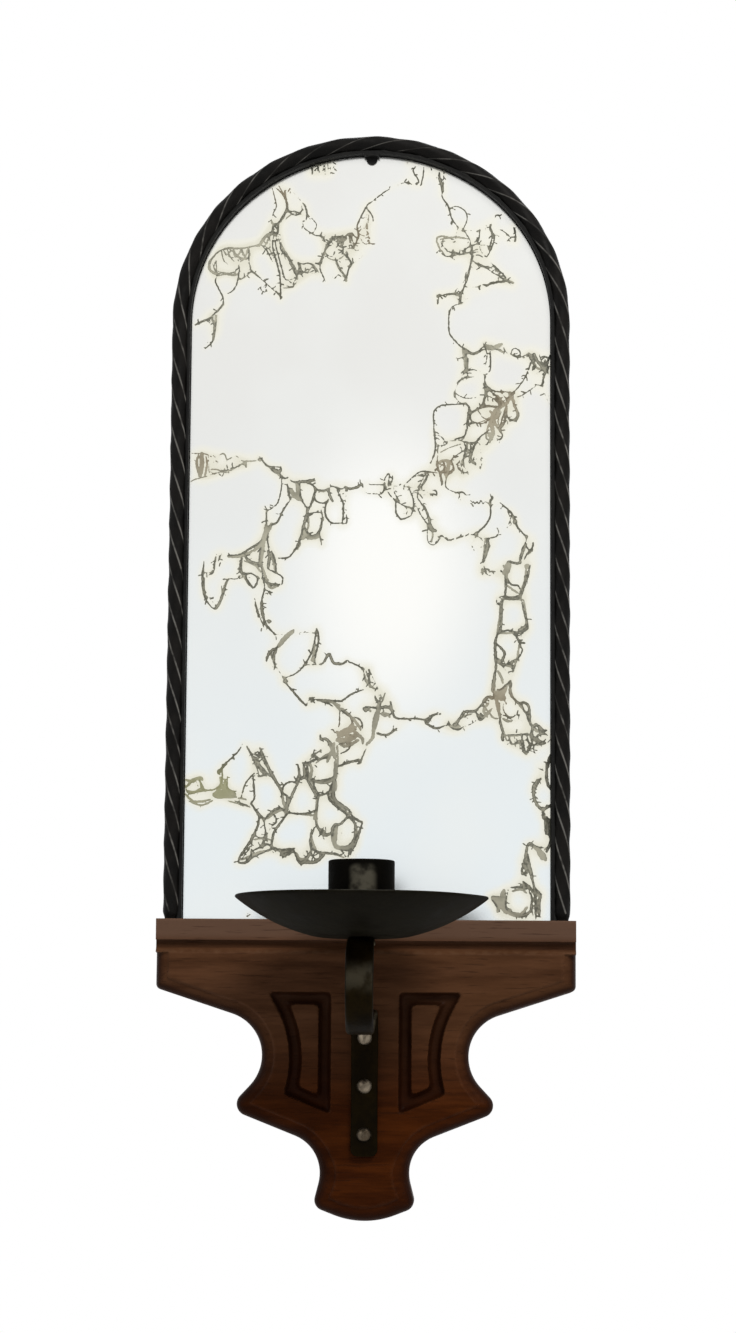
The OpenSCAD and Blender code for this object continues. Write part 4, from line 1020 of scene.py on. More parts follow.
1.3 -37.5 30 -35.5 27.5 -34.5 28.5 -33.5 28 -32.5 29.8;
1.3 -31.5 30.3 -29 24.7 -27.5 24.5 -26 26 -24 29.5; 1.8 -28 25 -22 25 -18 28.5; 1.8 -24 29 -22 26;
1.4 -15 35.5 -14.8 39.5 -13.5 41 -12 41 -10.5 42 -8 44.8; 1.3 -8 44.8 -5.3 41.5 -5 39.5 -5.3 35.5 -7 32;
1.2 -7 45.5 -5 43.5 -2 42; 1.3 -2 42 -4.5 34 -6.5 30 -7 28; 0.6 -10.8 37.5 -10.5 35.5;
2.2 -11.5 31 -9.5 30.8 -7.5 31.5 -6 33; 1.6 -7.5 31 -8 27; 1.6 -11 30 -9 27.3;
0.7 -50.5 3 -51 1.5 -49.5 2.5; 0.5 75.5 66.5 74 62.5; 0.5 72.5 67 73.5 65.5;
1.1 74.5 61.5 71.5 55.5 72 51.5 74.2 48.3 76 48.2 77.5 49 78.8 50.5 79.5 52.5;
1 73.5 61 71.5 58.5 70.8 56.5; 1.1 76.7 67 77.3 59.5 78 57.5 79.8 55;
1.3 75.8 48 75.3 46.5 75.5 44.5 76.3 43 76.5 37; 1.4 77 45 78.3 41 78.3 36;
1.4 78.5 35 78.2 33 76.8 29.5; 1.1 66.3 25 66.8 23.5 66.3 21.5 66.7 20;
1.2 67.5 26 69 33 70.5 33 72.5 32 75.8 31.5; 1.2 68.3 31 68.5 26 71.8 13.5 72.3 1;
1 69.2 28 69.5 25 71 19; 1 67 24 68 22.5 68.5 20.5; 1 66.5 17 67.5 16.5 71 13;
1.2 61.5 14.5 67.5 14.7 69.5 14; 1.4 60.5 13.5 59.8 9.5; 1.4 53.5 10.5 59 10.3; 0.9 53 9.5 54.5 8 57 4;
1.3 59.5 10 60 5.5 65 2.5 69 3.5 70.3 5.5 70.5 8 70.5 10.5 69.5 12.8; 1.2 64 2.5 64 1; 1.2 66 3 66.5 1;
1.2 68.5 3 68 1; 0.6 58.5 3.5 58 1.5; 0.9 72.5 14 73.8 12 74.8 11.5; 1.4 74.3 11 73.8 8.5 73.8 2.5;
0.7 15.2 336.3 15.6 333.4; 0.7 26.2 333.8 25.7 331.2; 0.7 31.6 332 31.9 329.2;
0.5 28.3 333.2 28.6 330.4; 0.5 17 335.8 16.8 333.9; 0.8 -27.1 334.5 -26.5 328.6;
0.8 -25.2 335.1 -24.8 329.1; 0.8 -23.5 335.3 -23.2 329.4; 0.8 -22.1 335.7 -21.4 329.7;
0.8 -20.7 335.7 -20.6 328.1; 0.8 -19.6 336 -19.3 329.1; 0.8 -18.5 336 -18.3 328.5;
0.8 -17.3 336.2 -16.6 330.6; 0.8 -28.7 333.7 -28.3 329.3;
0.5 -54 294.8 -53.9 289.7 -52.8 285.2 -49.8 282.7; 0.6 -39.1 294.2 -36.9 291.4 -35.5 288 -33.5 284.1;
0.5 -29.1 286.9 -29.2 283.9; 0.5 -27.3 287.2 -28 283.5; 0.6 -25.3 287.5 -24.5 285;
0.5 -19.3 297.4 -21.3 291.4 -22.1 288.4; 0.5 -13.6 298.8 -12.3 294.2 -13.8 290.9;
0.5 -22.4 301.6 -21.8 298.8; 0.5 -20.5 301 -20.9 298.3; 0.5 -17.4 300.8 -17.8 297.6;
0.5 -12.5 301.6 -12.9 297.9; 0.5 -8.9 301.6 -10 296.5; 0.7 -25.9 335.1 -26.2 329;
0.7 -24.3 335.1 -23.8 329.9; 0.8 -77.2 260.4 -73.4 262.3 -69.5 263.8;
0.7 -65 270 -66.8 267.2 -69.8 264.7; 0.6 -67.9 262.7 -68.4 258.2 -69.1 254.2;
0.6 30.2 299.2 31.2 296.5 34.2 293.4 38.2 293; 0.6 29.2 294.4 32.8 291.4 37.2 291.8;
0.6 40.1 303.7 43.1 299.2 43.6 295.5; 0.7 52.1 305.7 53.1 300.6 51.5 294.4;
0.6 56.1 303.7 59.5 301.6 62.1 298.5; 0.6 63.1 305.7 63.5 297.9; 0.5 38.8 294.4 42.2 293 47.2 293.4;
0.6 47.2 288.3 53.2 284.2 58.1 281.1 62.1 279.1; 0.5 44.4 286.2 49.2 283.2; 0.5 54.2 286.2 56.8 282.1;
0.6 49.2 278 55.2 279.5 61.1 280.7; 0.6 28.7 273.9 29.3 269.2; 0.5 29.3 273.3 34.3 274.6 38.8 273.7;
0.6 37.2 273.3 39.3 269.9; 0.6 41.3 248.9 45.3 247.4 49.3 250.9; 0.6 49.3 252.5 50.9 247.5 50.3 242.4;
0.6 52.8 251.5 54.8 249.5 58.2 249.5; 0.5 61.2 247.5 64.8 246 69.1 247.5;
0.7 69.1 248.1 71.5 244.4 70.7 240; 0.6 73.5 248.1 75.1 243.4 78 238.3;
0.6 76.7 247.5 75.5 241.4 72.1 238.3; 0.6 37.4 234.2 40.4 236.7 45.3 237.3;
0.6 36.6 230.2 41.4 227.8 47.3 228.2; 0.7 49.3 234.3 50.5 230.2 49.3 225.1;
0.6 57.2 230.2 59.6 227.8 63.2 230.2; 0.7 59.6 224.1 57.7 219.1 56.3 213;
0.6 62.2 226.2 64.2 221.1 63.2 217.1; 0.6 47.3 222.1 49.3 219.1 52.3 218.1;
0.45 -70.9 193.1 -66.3 194.5 -61.7 195.9 -54.9 198.2; 0.4 -67.8 200.3 -69.1 196.2;
0.4 -65.5 202.1 -66.8 198.2; 0.4 -62.3 200.1 -63.4 195.9; 0.4 -59.3 200.1 -59.9 196.4;
0.4 -56.5 200.3 -57.2 197.1; 0.5 -69.8 195.1 -67.5 193.6; 0.5 -65.2 196.2 -63.3 194.5;
0.8 -44.9 177.1 -44.7 171.8; 0.8 -65.2 157.8 -64.4 154.9; 0.6 -66.7 157.3 -67.4 150.9 -69.7 149.1;
0.8 -71.4 148 -71.3 139.9 -66.1 134.7 -61.7 146.9; 0.5 -26.4 92.7 -25.6 95.4; 0.5 -24.7 93.2 -24 95.6;
0.5 15.5 86.5 19.9 87 24.8 86.5; 0.6 24.8 86.3 27.3 88.3 31.2 88.7; 0.8 3.8 80.7 8.2 79.7 12.3 82.5;
0.7 -24 70.5 -19.6 73; 0.8 -12.7 66.2 -9.3 67.2 -4.9 68.7 -3.2 67.7; 0.7 -1.3 72.6 -2.8 67.7;
0.5 4.6 97.8 5.2 94.3; 0.5 7.1 97.5 6.4 94.8; 0.5 9.5 94.3 10.1 91.4; 0.6 -20.6 79.4 -20.1 77.4;
0.5 -8.4 82.9 -7.6 77.5; 0.5 -6 83.9 -5.5 78.5; 0.5 -10.9 81.4 -10.3 76; 0.6 -3.3 79 -1.9 77;
0.6 56 89.2 62.1 87.7 63.6 89.2; 0.5 60.9 79.2 61.4 76.1; 0.5 63 79.2 63.7 74.6;
0.5 65.2 78.4 65.5 73.8; 0.7 67 77.7 67.9 72.3 70.6 76.1 70.1 79.2; 0.7 71.3 78.5 74.4 76.2 76.7 78.5;
0.5 72.8 75.4 77.4 76.9 79.3 79.3; 0.8 79.3 71.6 76.7 63.1 77.4 59.2 79.4 56.2;
0.8 72.9 60.7 71.3 56.9 71.8 52.3 74.4 48.5 78.2 49.3; 0.7 79 45.4 78.2 40.1 79 33.9;
0.8 67.1 26.2 68.3 21.7 66.5 20.1; 0.7 67.1 16.3 67.1 11; 0.7 71.3 11.8 74.7 12.8;
0.8 72.9 5.7 73.6 1.9; 0.8 70.6 5.7 71.3 1.9; 0.6 64.5 16.3 69 15.3;
0.5 49.7 153.8 51.2 149.9 55.1 149.1; 0.8 -51.8 74.1 -49.5 70.1 -46.7 65.3 -44.2 62.2;
0.9 -46.2 73.6 -43.1 66.7 -39.6 60.5 -36.6 54.6; 0.5 -48.5 71.8 -47 67.8; 0.5 -45.4 71.3 -47.9 68.2;
0.6 -46.7 67.1 -44.7 64.8 -43.3 61.6; 0.5 -48.5 62.7 -46.7 61.6 -43.8 62.1;
0.7 -21 39.6 -17 36.8 -13.6 39.1; 0.5 -36.7 29 -36.1 26.3; 0.5 -35 29.1 -34.6 26.3;
0.5 -18.7 38.5 -18.3 36.3; 0.6 -57.9 51.3 -53.3 49.7 -50.5 48.9; 0.5 -55 51.9 -54.7 49.1;
0.5 -63.6 57 -61.3 52.2; 0.5 -60.8 57 -58.3 52.7; 0.5 -27.1 30 -27.5 26.6; 0.5 -25.3 30.2 -25.5 26.4;
0.5 50.6 229.2 53.9 227.5 56.7 224.7; 0.5 54.5 227.5 57.7 226.4 60.5 228.1;
0.6 59.4 223.6 60.1 219.2 63.7 218.1 64.3 221.4 62.3 225.6; 0.5 56.1 214.2 57.8 210.9 55 208.6;
0.5 44.1 221.4 47.9 223.1 51.7 224.2; 0.6 50.2 206.7 47.1 203.6; 0.6 40.4 199.2 42.6 194.5;
0.6 44.7 205.8 43.6 201.4 46 198.1; 0.7 29.7 166.6 31.8 164.9; 0.7 33.4 166 35.6 164.9;
0.7 37.8 166 40.5 166.3; 0.7 49 151.2 54.6 150.9; 0.7 22 187 25.4 185.9; 0.6 49 151.2 49.2 149.1;
0.5 47.8 198.1 48.2 196.3; 0.5 -42.6 306.5 -43.7 304.2 -42.9 301.5 -41.6 301.9 -41.2 304.7 -42.6 306.5;
0.5 -21.3 299.7 -20 296.5; 0.4 -16.9 299.2 -15.1 297.9 -12.5 299.2;
0.5 -14.7 298.8 -14.2 296 -12.5 295.1; 0.5 -11.6 299.7 -10.3 301.5 -9 301 -8.5 298.8 -7.2 296;
0.5 -16 289.7 -14.2 286.1 -11.5 282.5 -11 279.8; 0.4 -13.3 287 -8.9 287;
0.5 -31.8 287 -31.7 283.9 -29.1 284.3
"""
web_rows = """
1.7 -44 307 -43 305; 1.4 -44.5 302 -46.5 300.5 -49.5 296; 1.2 -62.5 294.8 -58 291;
1 -58 291 -56 290.2 -54.5 290.5; 1.2 -61.5 283.2 -59.5 283;
0.9 34.5 299.5 33 300.2 30.5 300.5 29 299.8 28.7 298.3 29.5 296.3 30.3 294.5 32.3 292;
1.2 31.5 299 31.3 297; 1.8 58.5 281 62.3 279.5; 2 -68 264.5 -68.5 258.5;
0.6 -78 203 -73.5 203 -71 202.5 -69 201.5; 2 -73.2 203 -73 197; 2 50.5 250.5 53 250 57.3 251.8;
1.3 57 225 59 225.3 60.5 227 61 229; 1.4 60.5 230 62.5 226.5 62.8 224.5;
1.6 57 224.5 55 223 54 221 53.8 218.5 55.5 214.8; 1.8 54 222 52.5 217 53.5 214 53.5 211.5 52 208.3;
1.4 30 199 31.5 199.8 33.5 200 35 199.3 36 198; 2.4 52.5 211.5; 2.2 -73.5 203 -73.3 198 -74 193;
2.2 -33.5 184 -31.5 184.5 -31 187 -31.5 189.5; 2.4 -45 171 -44.7 168.5 -46.5 163.5; 3 -46.5 163.5;
2.2 -44.5 147; 2.2 -28.5 169 -27.5 167 -25 166 -22 166.5; 2.4 -29 166;
1.6 33.5 200 34.3 197.5 33.3 192.5; 3 60.5 155 60 152.5 59 150.5; 2.4 68.5 153.5;
2.2 -32.5 125 -36 121.8 -39 118; 1.8 -24.5 112 -23 116; 2.4 -14.5 93.5 -11.8 90.5;
2 -13.5 81 -11.5 80 -9 81 -6.5 84.5; 2.4 -9.5 80 -8 78 -8.5 76; 1.6 -6.5 84 -5.5 81 -2.5 78.3 -2 76;
1.8 -14.5 76 -15 73 -16.5 70.5 -17.3 68; 1.6 -13 75 -12.8 67;
1.6 4.5 91 2.8 86.5 2.3 79.3 1.2 77.3 -0.5 75.5; 1.2 5.5 89 7.3 88 8.8 88.8 9.5 87.3;
0.9 50 93 51 91 54 87.5 56 87; 0.9 49.5 88 53.5 91.5; 2.2 56.5 112; 3 58.5 99.5 57 96.5 58.5 96;
1.6 55.8 99.5 55.5 94.5 57 87.5; 1.2 58 87 60 86 62 86; 1.4 -78.5 60 -76 59.5 -72 61 -71 60;
1.2 -78.5 54 -75.5 51 -74 50.5 -70 50.8 -67.5 51.5; 4 -65.5 53.5 -60 54 -57.5 53.5; 2 -61.2 57 -61.3 60;
1 -60 51 -50.3 48.3; 1 -55.5 52 -53.5 52 -52 51.5; 1.4 -24.5 67 -24 64 -24.5 61.5 -25.5 60;
2.2 -21.8 47.5 -22.7 43.5; 2 -15 36 -13.5 32 -12 31 -8 31.3; 2.2 -13 40 -13.5 34;
2 71 32.5 75 29 76.5 26.3; 2.2 55.5 8.8; 2.4 61 4.5; 3.4 54 10 56.5 9.8; 2.6 55.5 8.5 57 6.5;
2.6 58.6 13 58 9 58.5 5; 2.2 60 4.2 63 3 66.5 2.5; 3 73.5 29.5 75 27; 0.6 -76.5 200 -74.5 197;
0.9 -68.3 202 -67.5 201.3; 0.7 -65.8 202.3 -64 203 -63 202 -62.3 200.3 -60 201.3; 0.5 -58.5 202 -57 201;
0.7 -56 200 -54.5 199.5 -49.5 199.8; 1.4 -54 199 -54 197; 1.6 -47.8 200.3;
0.6 -78.5 190 -76.5 191.3 -70.5 193; 0.8 -71 195.5 -67 196 -65 195.3 -61 195.5 -54 199.5;
0.5 -68 194 -65 194.7 -61 194.5; 0.5 -70.5 202 -70 194; 1.8 -54.5 198.5;
0.7 -70.4 285 -71.6 288.4 -69.4 291.4 -67.2 293.7 -63.4 294.8 -59 294.8 -54.3 295.4;
0.6 -66.1 293.7 -65 289.7 -63.3 287.9; 0.6 -63.4 294.2 -62 290.9 -60.2 289;
0.7 -60.6 294.2 -58.9 291.4 -57.1 289.7; 0.8 -57.9 294.8 -56.1 291.4;
0.8 -54.3 295.4 -55.6 290.9 -57.6 289;
0.5 -69.9 288 -68.2 285.2 -64.9 283.9 -61 284.1 -58.8 285.4 -58.1 288.4 -58.9 290;
0.5 -40.8 299.3 -38 294 -35.2 289.5 -33 285 -32.4 281 -34.5 277.9 -38.4 278.4;
0.8 -49.1 297.6 -46.9 300.5 -44.2 302.2 -43.4 305.6; 0.8 -46.6 296.5 -45.2 299.9 -43.8 301.6;
0.9 30.8 299.2 37.2 300 42.7 299.2; 0.8 33.2 293.8 39.2 292.2 46.8 294.6;
1.4 40.3 249.5 41.3 244.4 41.7 239.9; 1.2 50.2 251.5 54.2 250.5 58.2 248.1;
1.1 70.1 247.5 72.7 241.4 77.4 240.8; 1.2 55.3 229.2 58.8 225.1 61.2 227.8;
1.4 52.3 222.1 54.9 219.1 56.3 222.1; 1.3 -74.9 202.1 -75.5 198 -74 192.7;
1 -71.5 201.5 -71 198 -71.9 192.7; 1.3 -42.8 195.9 -39.9 194 -38.6 192.7;
2.2 -34.7 187.3 -32.3 184.1 -29.4 182.3; 1.1 -31.8 190.5 -27.8 190.4 -23.8 191.1;
1.8 -28.7 166.6 -25.3 165.9 -21.7 167.1; 1.2 -21.3 166.7 -20.7 162.7; 1.3 -29.7 163.4 -31 160.8;
2.2 -42.5 171.8 -44.7 167.8 -46.4 163.7 -49.8 160.2; 1.4 -50.4 160.2 -54.4 157.9 -61.2 157.3;
1.9 -45.8 163.1 -46.6 159.1 -47.2 154.4; 1.3 -46.9 154.4 -45.1 149.2 -42.8 144 -39.3 144.6;
1.3 -43.2 159.6 -41.5 155.6 -40.8 151.5; 1 -54.9 156.7 -56.2 151.5 -54.2 148.6 -51.9 144.6;
1 -54.3 155.6 -49.7 153.8 -46.8 150.4; 1.2 -23.2 187 -20.3 186.4 -18 187.4;
1 -26.5 175.9 -26.5 171.3 -27 169; 2 -36.6 104.5 -35.1 102.8; 1.5 -23.3 119.9 -23.6 115 -23.4 111;
1.5 -21.8 94.6 -16.9 94.4 -12.2 92.3; 1.4 -11.4 91.3 -7.5 87.8 -4.5 84.4 -3 81.9;
3.2 -12.5 79.4 -9.4 81.2 -5.7 82.8; 2.8 -13.1 77.5 -9.4 77.3 -5 79.5; 1.6 -11.5 75.3 -8.4 75 -4 77.5;
2.2 4.8 93.8 3.9 87.4 2.5 81.5; 1.8 -0.9 91.3 1.1 90.1; 1.1 5.2 91.3 9.9 91.4; 1.6 6.2 89.4 8.7 88.8;
1.3 35.1 84.1 37.5 83.1 39.7 83.6; 2.1 -16.7 77 -15 73.5 -14 69.6; 2 -13.6 68.6 -13.7 63.7 -14.1 59.8;
1.6 -22.9 59.7 -19 59 -14.6 60; 2.3 -14.5 59.8 -14.4 51.9; 1.1 -22 67.6 -18.1 70.8 -14.4 72.1;
1.2 -1.8 106.1 -0.3 102.2 2.7 99.7; 0.9 -25.9 67.1 -24.9 61.7 -21.9 55.8;
1.3 58.2 153.9 59.7 150.7 59.3 146.8; 1.1 68.2 153.1 67.4 146.8 65.1 140.6;
1 59.7 145.2 62.8 142.9 65.1 141.4; 1.1 57.4 139 62 139.3 67 138.7;
1 67 138.7 67.9 132.8 67.9 127.3 65.1 125; 1.1 57.1 138.2 56.7 131.2 55.6 124.2;
1.6 66.1 127.1 67.9 125.6; 1 55.9 124.2 59.8 124.2 64.4 124.6; 1 55.3 123.4 54.8 117.1 55.9 110.9;
1 65.1 119.5 64.4 114.1 62.8 109.4; 1.3 56.7 110.9 59.8 110.2 62.4 109.4;
1.1 54.9 106.3 54.4 100.1 55.2 93.9; 1.3 55.9 107.8 57.5 104.7 58.2 102.4;
1.5 56.3 98.5 58.3 97.7 59.8 101.6; 0.9 60.6 102.4 62.9 95.4 66.7 92.4;
1.2 52.1 93.8 49.8 90.7 51.4 87.6; 1.3 46.7 89.2 49.8 87.6 52.9 90.7; 1 36 83.7 40.6 87.6 45.2 89.2;
1 56.7 93.9 56.7 87.7 58.3 81.5 59.8 77.6; 1 64.4 93.9 68.2 89.3 69.8 84.6;
1.1 70.5 83.9 72.8 81.6 75.9 81.9; 0.9 59 79.9 63.6 79.7 69 80.8; 1.2 72.9 60 74.7 60.9;
1 75.6 46.9 76.7 41.6 77.4 37; 1.8 72.9 31.2 75.6 28.6 76.2 27; 0.9 78.2 40.8 78.7 33.9 75.9 30.6;
1 69 32.4 74.4 31.2; 2 53.8 10.1 56.9 9.4 56.1 4.1; 1.5 59.2 10.2 57.6 6.4 59.9 3.3;
1.4 61.4 3.6 65.6 2.9 68.6 6.1; 1.2 62.2 12.9 66 13.7 68.3 12.2; 1.6 72.1 11.5 74.1 10.7 72.9 6.7;
1.3 -77.7 56.9 -75 60.1 -71.1 60.1; 1.2 -77.2 55.1 -74.2 54.7 -70.6 57;
1.3 -65.8 54.1 -62.5 56.8 -59.3 54.7 -56.3 52.5; 1.2 -63.4 61.3 -62.5 57 -60.8 52.7;
0.9 -77.1 51 -71.4 49 -66.4 51.1; 1.4 -43 43.3 -39.7 46 -35.4 47.8;
1.2 -36.8 54.2 -35.9 50.3 -35.2 47.6; 1.2 -29.1 60.3 -31.6 55.4 -34.1 49.4;
1.1 -31.5 45.6 -26.1 45.3 -22.3 44.7; 1.4 -21.4 53.6 -21.6 49.3 -22 44.7 -21.4 40.4;
1.3 -16.9 53.6 -13.5 50.4 -8.3 45.9; 1.9 -17 59.5 -14.5 60.2 -14 56.3 -16.5 54.5;
1 -24.9 59.2 -22.4 55.1 -20.3 53.8; 1.2 -54.4 25.6 -51.7 26.5 -46.3 28.8 -41.3 29.9;
1 -48.4 34.4 -45 34.9 -40.9 34.2; 1.5 -30.2 28.6 -28.6 26 -25.7 26.6 -23.7 29.8;
1.2 -23.8 38.8 -23.7 34.5 -21.4 29.1; 1 -40.4 30.4 -36.1 29.3 -31.6 28.8;
1.6 -14 33.5 -12.2 31.2 -8.1 31.2 -5.7 33.5; 1.4 -13.4 40.2 -14 35.7 -13.6 33;
0.9 -7.8 44.6 -4.6 40.3 -5 33.5; 0.9 -21.2 28.7 -14.6 28.3 -9.9 26.9;
0.9 61 229 59.9 225.3 56.7 223.4 53.6 220.3; 1.2 57.2 224.1 54.7 219.2 53 214.2;
0.9 53.4 220.1 51.4 214.7 50.8 209.8 53.4 209.2; 0.7 49 223.6 52.8 224.1 56.7 224.1;
0.6 57.2 221.8 55.8 217.5 56.9 215 59.7 217.9; 0.6 44.7 216.3 49 217.4 52.1 219.2;
0.8 42.5 221.2 42.5 215.8; 0.5 42 214.7 40.8 209.8 37.6 209 33 208.5;
0.6 30.6 203.6 34.9 205.8 39.8 207.4; 0.9 42.1 208.1 42.5 203.6 39.9 199.4;
0.6 39.3 208.9 44.7 207.4 48 209.6; 1 30.2 198.5 32.8 197.4 32.8 193.6;
0.9 36 198.9 36.5 195.8 34.1 193.6; 0.7 38.9 198.1 40 194.3; 0.6 19.7 192.9 25.2 194.6 29.5 194.6;
1.1 25.2 193.6 23.7 190.3 22.2 188.3; 0.9 26.3 185.3 28.5 184.8; 0.9 61.1 178 62.8 173.8 64.3 170.7;
1.4 67.6 162.6 66.5 159.5 65.4 156.7; 1.7 61.1 153.8 59.2 150.9 59.6 148.1; 0.7 69.8 153.8 69.2 148.6;
0.6 70.8 163.7 70.2 159.8 67.8 158.4; 0.9 25.5 170.4 27.5 168.2 27.1 164;
0.8 50.3 165 49.8 159.5 49.2 155.3; 0.8 -49.5 296 -52 296 -57 295 -63 295.2 -65.5 294.5;
0.6 -65 294 -64 292.5 -62 291 -60.5 290.8; 0.8 -54 295 -53.6 292.5 -53.8 290;
0.6 -65.5 294.5 -68 292.8 -70 290.3 -71 288; 1.3 -71 288 -71.3 286 -70 284.3 -68 283.3;
0.8 -68.3 289.5 -68 284; 0.7 -65.8 293.5 -65.5 291.5;
0.8 -68 283 -65.5 284 -63 283.5 -60.5 284 -58.8 283; 0.5 -54 288.5 -53 286.3 -53.2 284.3;
0.5 -57.7 280.7 -54.4 282.9 -52.8 284.6; 0.7 -68.2 282.5 -64.3 283.2 -59.9 282.7 -57.7 284.6;
0.7 -41 323.3 -38.3 317.8 -37.5 313.3 -38.6 309.2 -41.2 305.6;
0.6 -38.2 307.8 -36.4 309.6 -34.2 311 -31.6 311; 0.9 -44.3 302.4 -46.9 300.1 -49.1 297 -51.3 296.1;
0.7 -44.3 301.5 -46 297; 0.6 -44.7 300.6 -44.6 295.2; 0.6 -47.3 299.7 -46.9 296.1;
0.7 -48.6 296.5 -45.1 294.7 -43.3 291.5;
0.7 -41.2 300.6 -39.8 296.1 -37.1 292.4 -35.3 288.8 -33.5 285.2 -33 281.6;
0.5 -39.8 297.9 -38.9 293.3 -37.5 289.7; 0.5 -39.3 287 -38.8 282.5 -36.5 280.7 -33.5 281.6;
0.5 -38.7 277.1 -34.3 277.5 -33.9 279.8; 0.8 -65.3 294.3 -63.6 292 -61.8 294.2;
0.8 -60.9 294.2 -60 291.5 -58.3 292.4 -57.4 294.7; 0.8 -57 294.7 -55.6 291.5 -53.9 295.2;
0.9 -60 291.1 -54.7 290.2; 0.6 -68.8 288.8 -69.2 286.1 -67.4 283.4;
0.6 -29.1 287 -28.2 284.3 -25.6 287 -24.3 286.1 -22.9 283.9;
0.5 -20.4 291.5 -16.8 289.7 -13.3 290.6 -11.1 293.3; 0.6 -11.2 294.2 -10.2 290.6 -8.5 287.9;
0.5 -10.7 294.7 -7.2 296 -6.4 299.7; 0.5 -1.2 311 -1.6 306.5 -2.4 304.2 -0.6 298.8;
0.5 -5.5 301.5 -2.8 300.6 -1.1 301.9; 1.3 -70.2 263.6 -68.4 260.9 -68.4 258.6
"""


def read_strokes(rows):
    """Width and points of each stroke. A stroke of one point is a blot."""
    strokes = []
    for row in rows.split(";"):
        numbers = np.array(row.split(), float)
        strokes.append((numbers[0], numbers[1:].reshape(-1, 2)))
    return strokes


def curved(points, step=0.7):
    """A smooth curve through the points of a stroke, in steps of about one length: a cubic whose slope at a
    point follows the points before and after it."""
    if len(points) < 3:
        return points
    ends = np.concatenate([[2 * points[0] - points[1]], points, [2 * points[-1] - points[-2]]])
    pieces = []
    for a, b, c, d in zip(ends[:-3], ends[1:-2], ends[2:-1], ends[3:]):
        t = np.arange(0, 1, step / max(np.hypot(*(c - b)), step))[:, None]
        pull = a - 2.5 * b + 2 * c - d / 2
        bend = 1.5 * b - a / 2 - 1.5 * c + d / 2
        pieces.append(b + t * (c - a) / 2 + t**2 * pull + t**3 * bend)
    return np.concatenate(pieces + [points[-1:]])


def thorns(strokes, seed, apart):
    """Short hairs that stand off the strokes at odd places, as the silver creeps along fine scratches.
    Along a stroke they are some length apart on average."""
    draw = np.random.default_rng(seed)
    hairs = []
    for width, points in strokes:
        for (x0, z0), (x1, z1) in zip(points[:-1], points[1:]):
            length = np.hypot(x1 - x0, z1 - z0)
            for share in draw.uniform(0, 1, draw.poisson(length / apart)):
                way = np.arctan2(z1 - z0, x1 - x0) + draw.choice([-1, 1]) * draw.uniform(0.5, 1.5)
                hair = draw.uniform(0.8, 2.6) * np.array([np.cos(way), np.sin(way)])
                root = np.array([x0 + share * (x1 - x0), z0 + share * (z1 - z0)])
                bend = root + 0.55 * hair + draw.normal(0, 0.12, 2)
                hairs.append((draw.uniform(0.36, 0.62), np.array([root, bend, root + hair])))
    return hairs


dark_strokes, web_strokes = read_strokes(dark_rows), read_strokes(web_rows)
hairs = thorns(dark_strokes, seed=81, apart=4.6)
print("strokes", len(dark_strokes), "dark", len(web_strokes), "pale", len(hairs), "hairs")

# %% Field of the craze
cell = 0.3
grid_x = np.arange(-79.2, 79.3, cell)
grid_z = np.arange(0.3, 337.2, cell)
reach = 5.0


def stroke_field(strokes, narrow, blend=0.42):
    """Distance of each grid place from the edge of the nearest stroke, below zero inside; the same with the
    strokes blended softly, so that they fill the corners between them; and how crowded the strokes are. A
    stroke narrows to a share of its width at its ends, and is only measured in the window round it."""
    field = np.full((len(grid_z), len(grid_x)), reach)
    soft = np.full_like(field, np.exp(-reach / blend))
    crowd = np.zeros_like(field)
    for width, points in strokes:
        line = curved(points)
        along = np.linspace(-1, 1, len(line)) if len(line) > 1 else np.zeros(1)
        half = width / 2 * (1 - (1 - narrow) * np.abs(along) ** 4)
        if len(line) == 1:
            line, half = np.repeat(line, 2, 0), np.repeat(half, 2)
        left, last = np.searchsorted(grid_x, [line[:, 0].min() - reach, line[:, 0].max() + reach])
        low, high = np.searchsorted(grid_z, [line[:, 1].min() - reach, line[:, 1].max() + reach])
        nearest = np.full((high - low, last - left), reach)
        for (x0, z0), (x1, z1), h0, h1 in zip(line[:-1], line[1:], half[:-1], half[1:]):
            run, rise = x1 - x0, z1 - z0
            px, pz = grid_x[left:last] - x0, grid_z[low:high, None] - z0
            share = np.clip((px * run + pz * rise) / (run * run + rise * rise + 1e-9), 0, 1)
            gap = np.hypot(px - share * run, pz - share * rise) - h0 - share * (h1 - h0)
            np.minimum(nearest, gap, out=nearest)
        window = (slice(low, high), slice(left, last))
        field[window] = np.minimum(field[window], nearest)
        soft[window] += np.exp(-nearest / blend)
        crowd[window] += np.exp(-np.maximum(nearest, 0) / 1.8)
    return field, -blend * np.log(soft), crowd


dark_field, joined_field, dark_crowd = stroke_field(dark_strokes, 0.35)
web_field, _, web_crowd = stroke_field(web_strokes, 0.6)
hair_field = stroke_field(hairs, 0.4)[0]
ragged = 0.08 * soft_waves(grid_x, grid_z[:, None], 1.7, 71, 14)
ragged = ragged + 0.06 * soft_waves(grid_x, grid_z[:, None], 0.9, 72, 14)
craze = np.minimum(joined_field + 0.1, np.minimum(web_field + 0.05, hair_field)) + ragged
dark_field = np.minimum(dark_field, hair_field)
crowd = dark_crowd + web_crowd
print("stained share", round(float((craze < 0).mean()), 3))

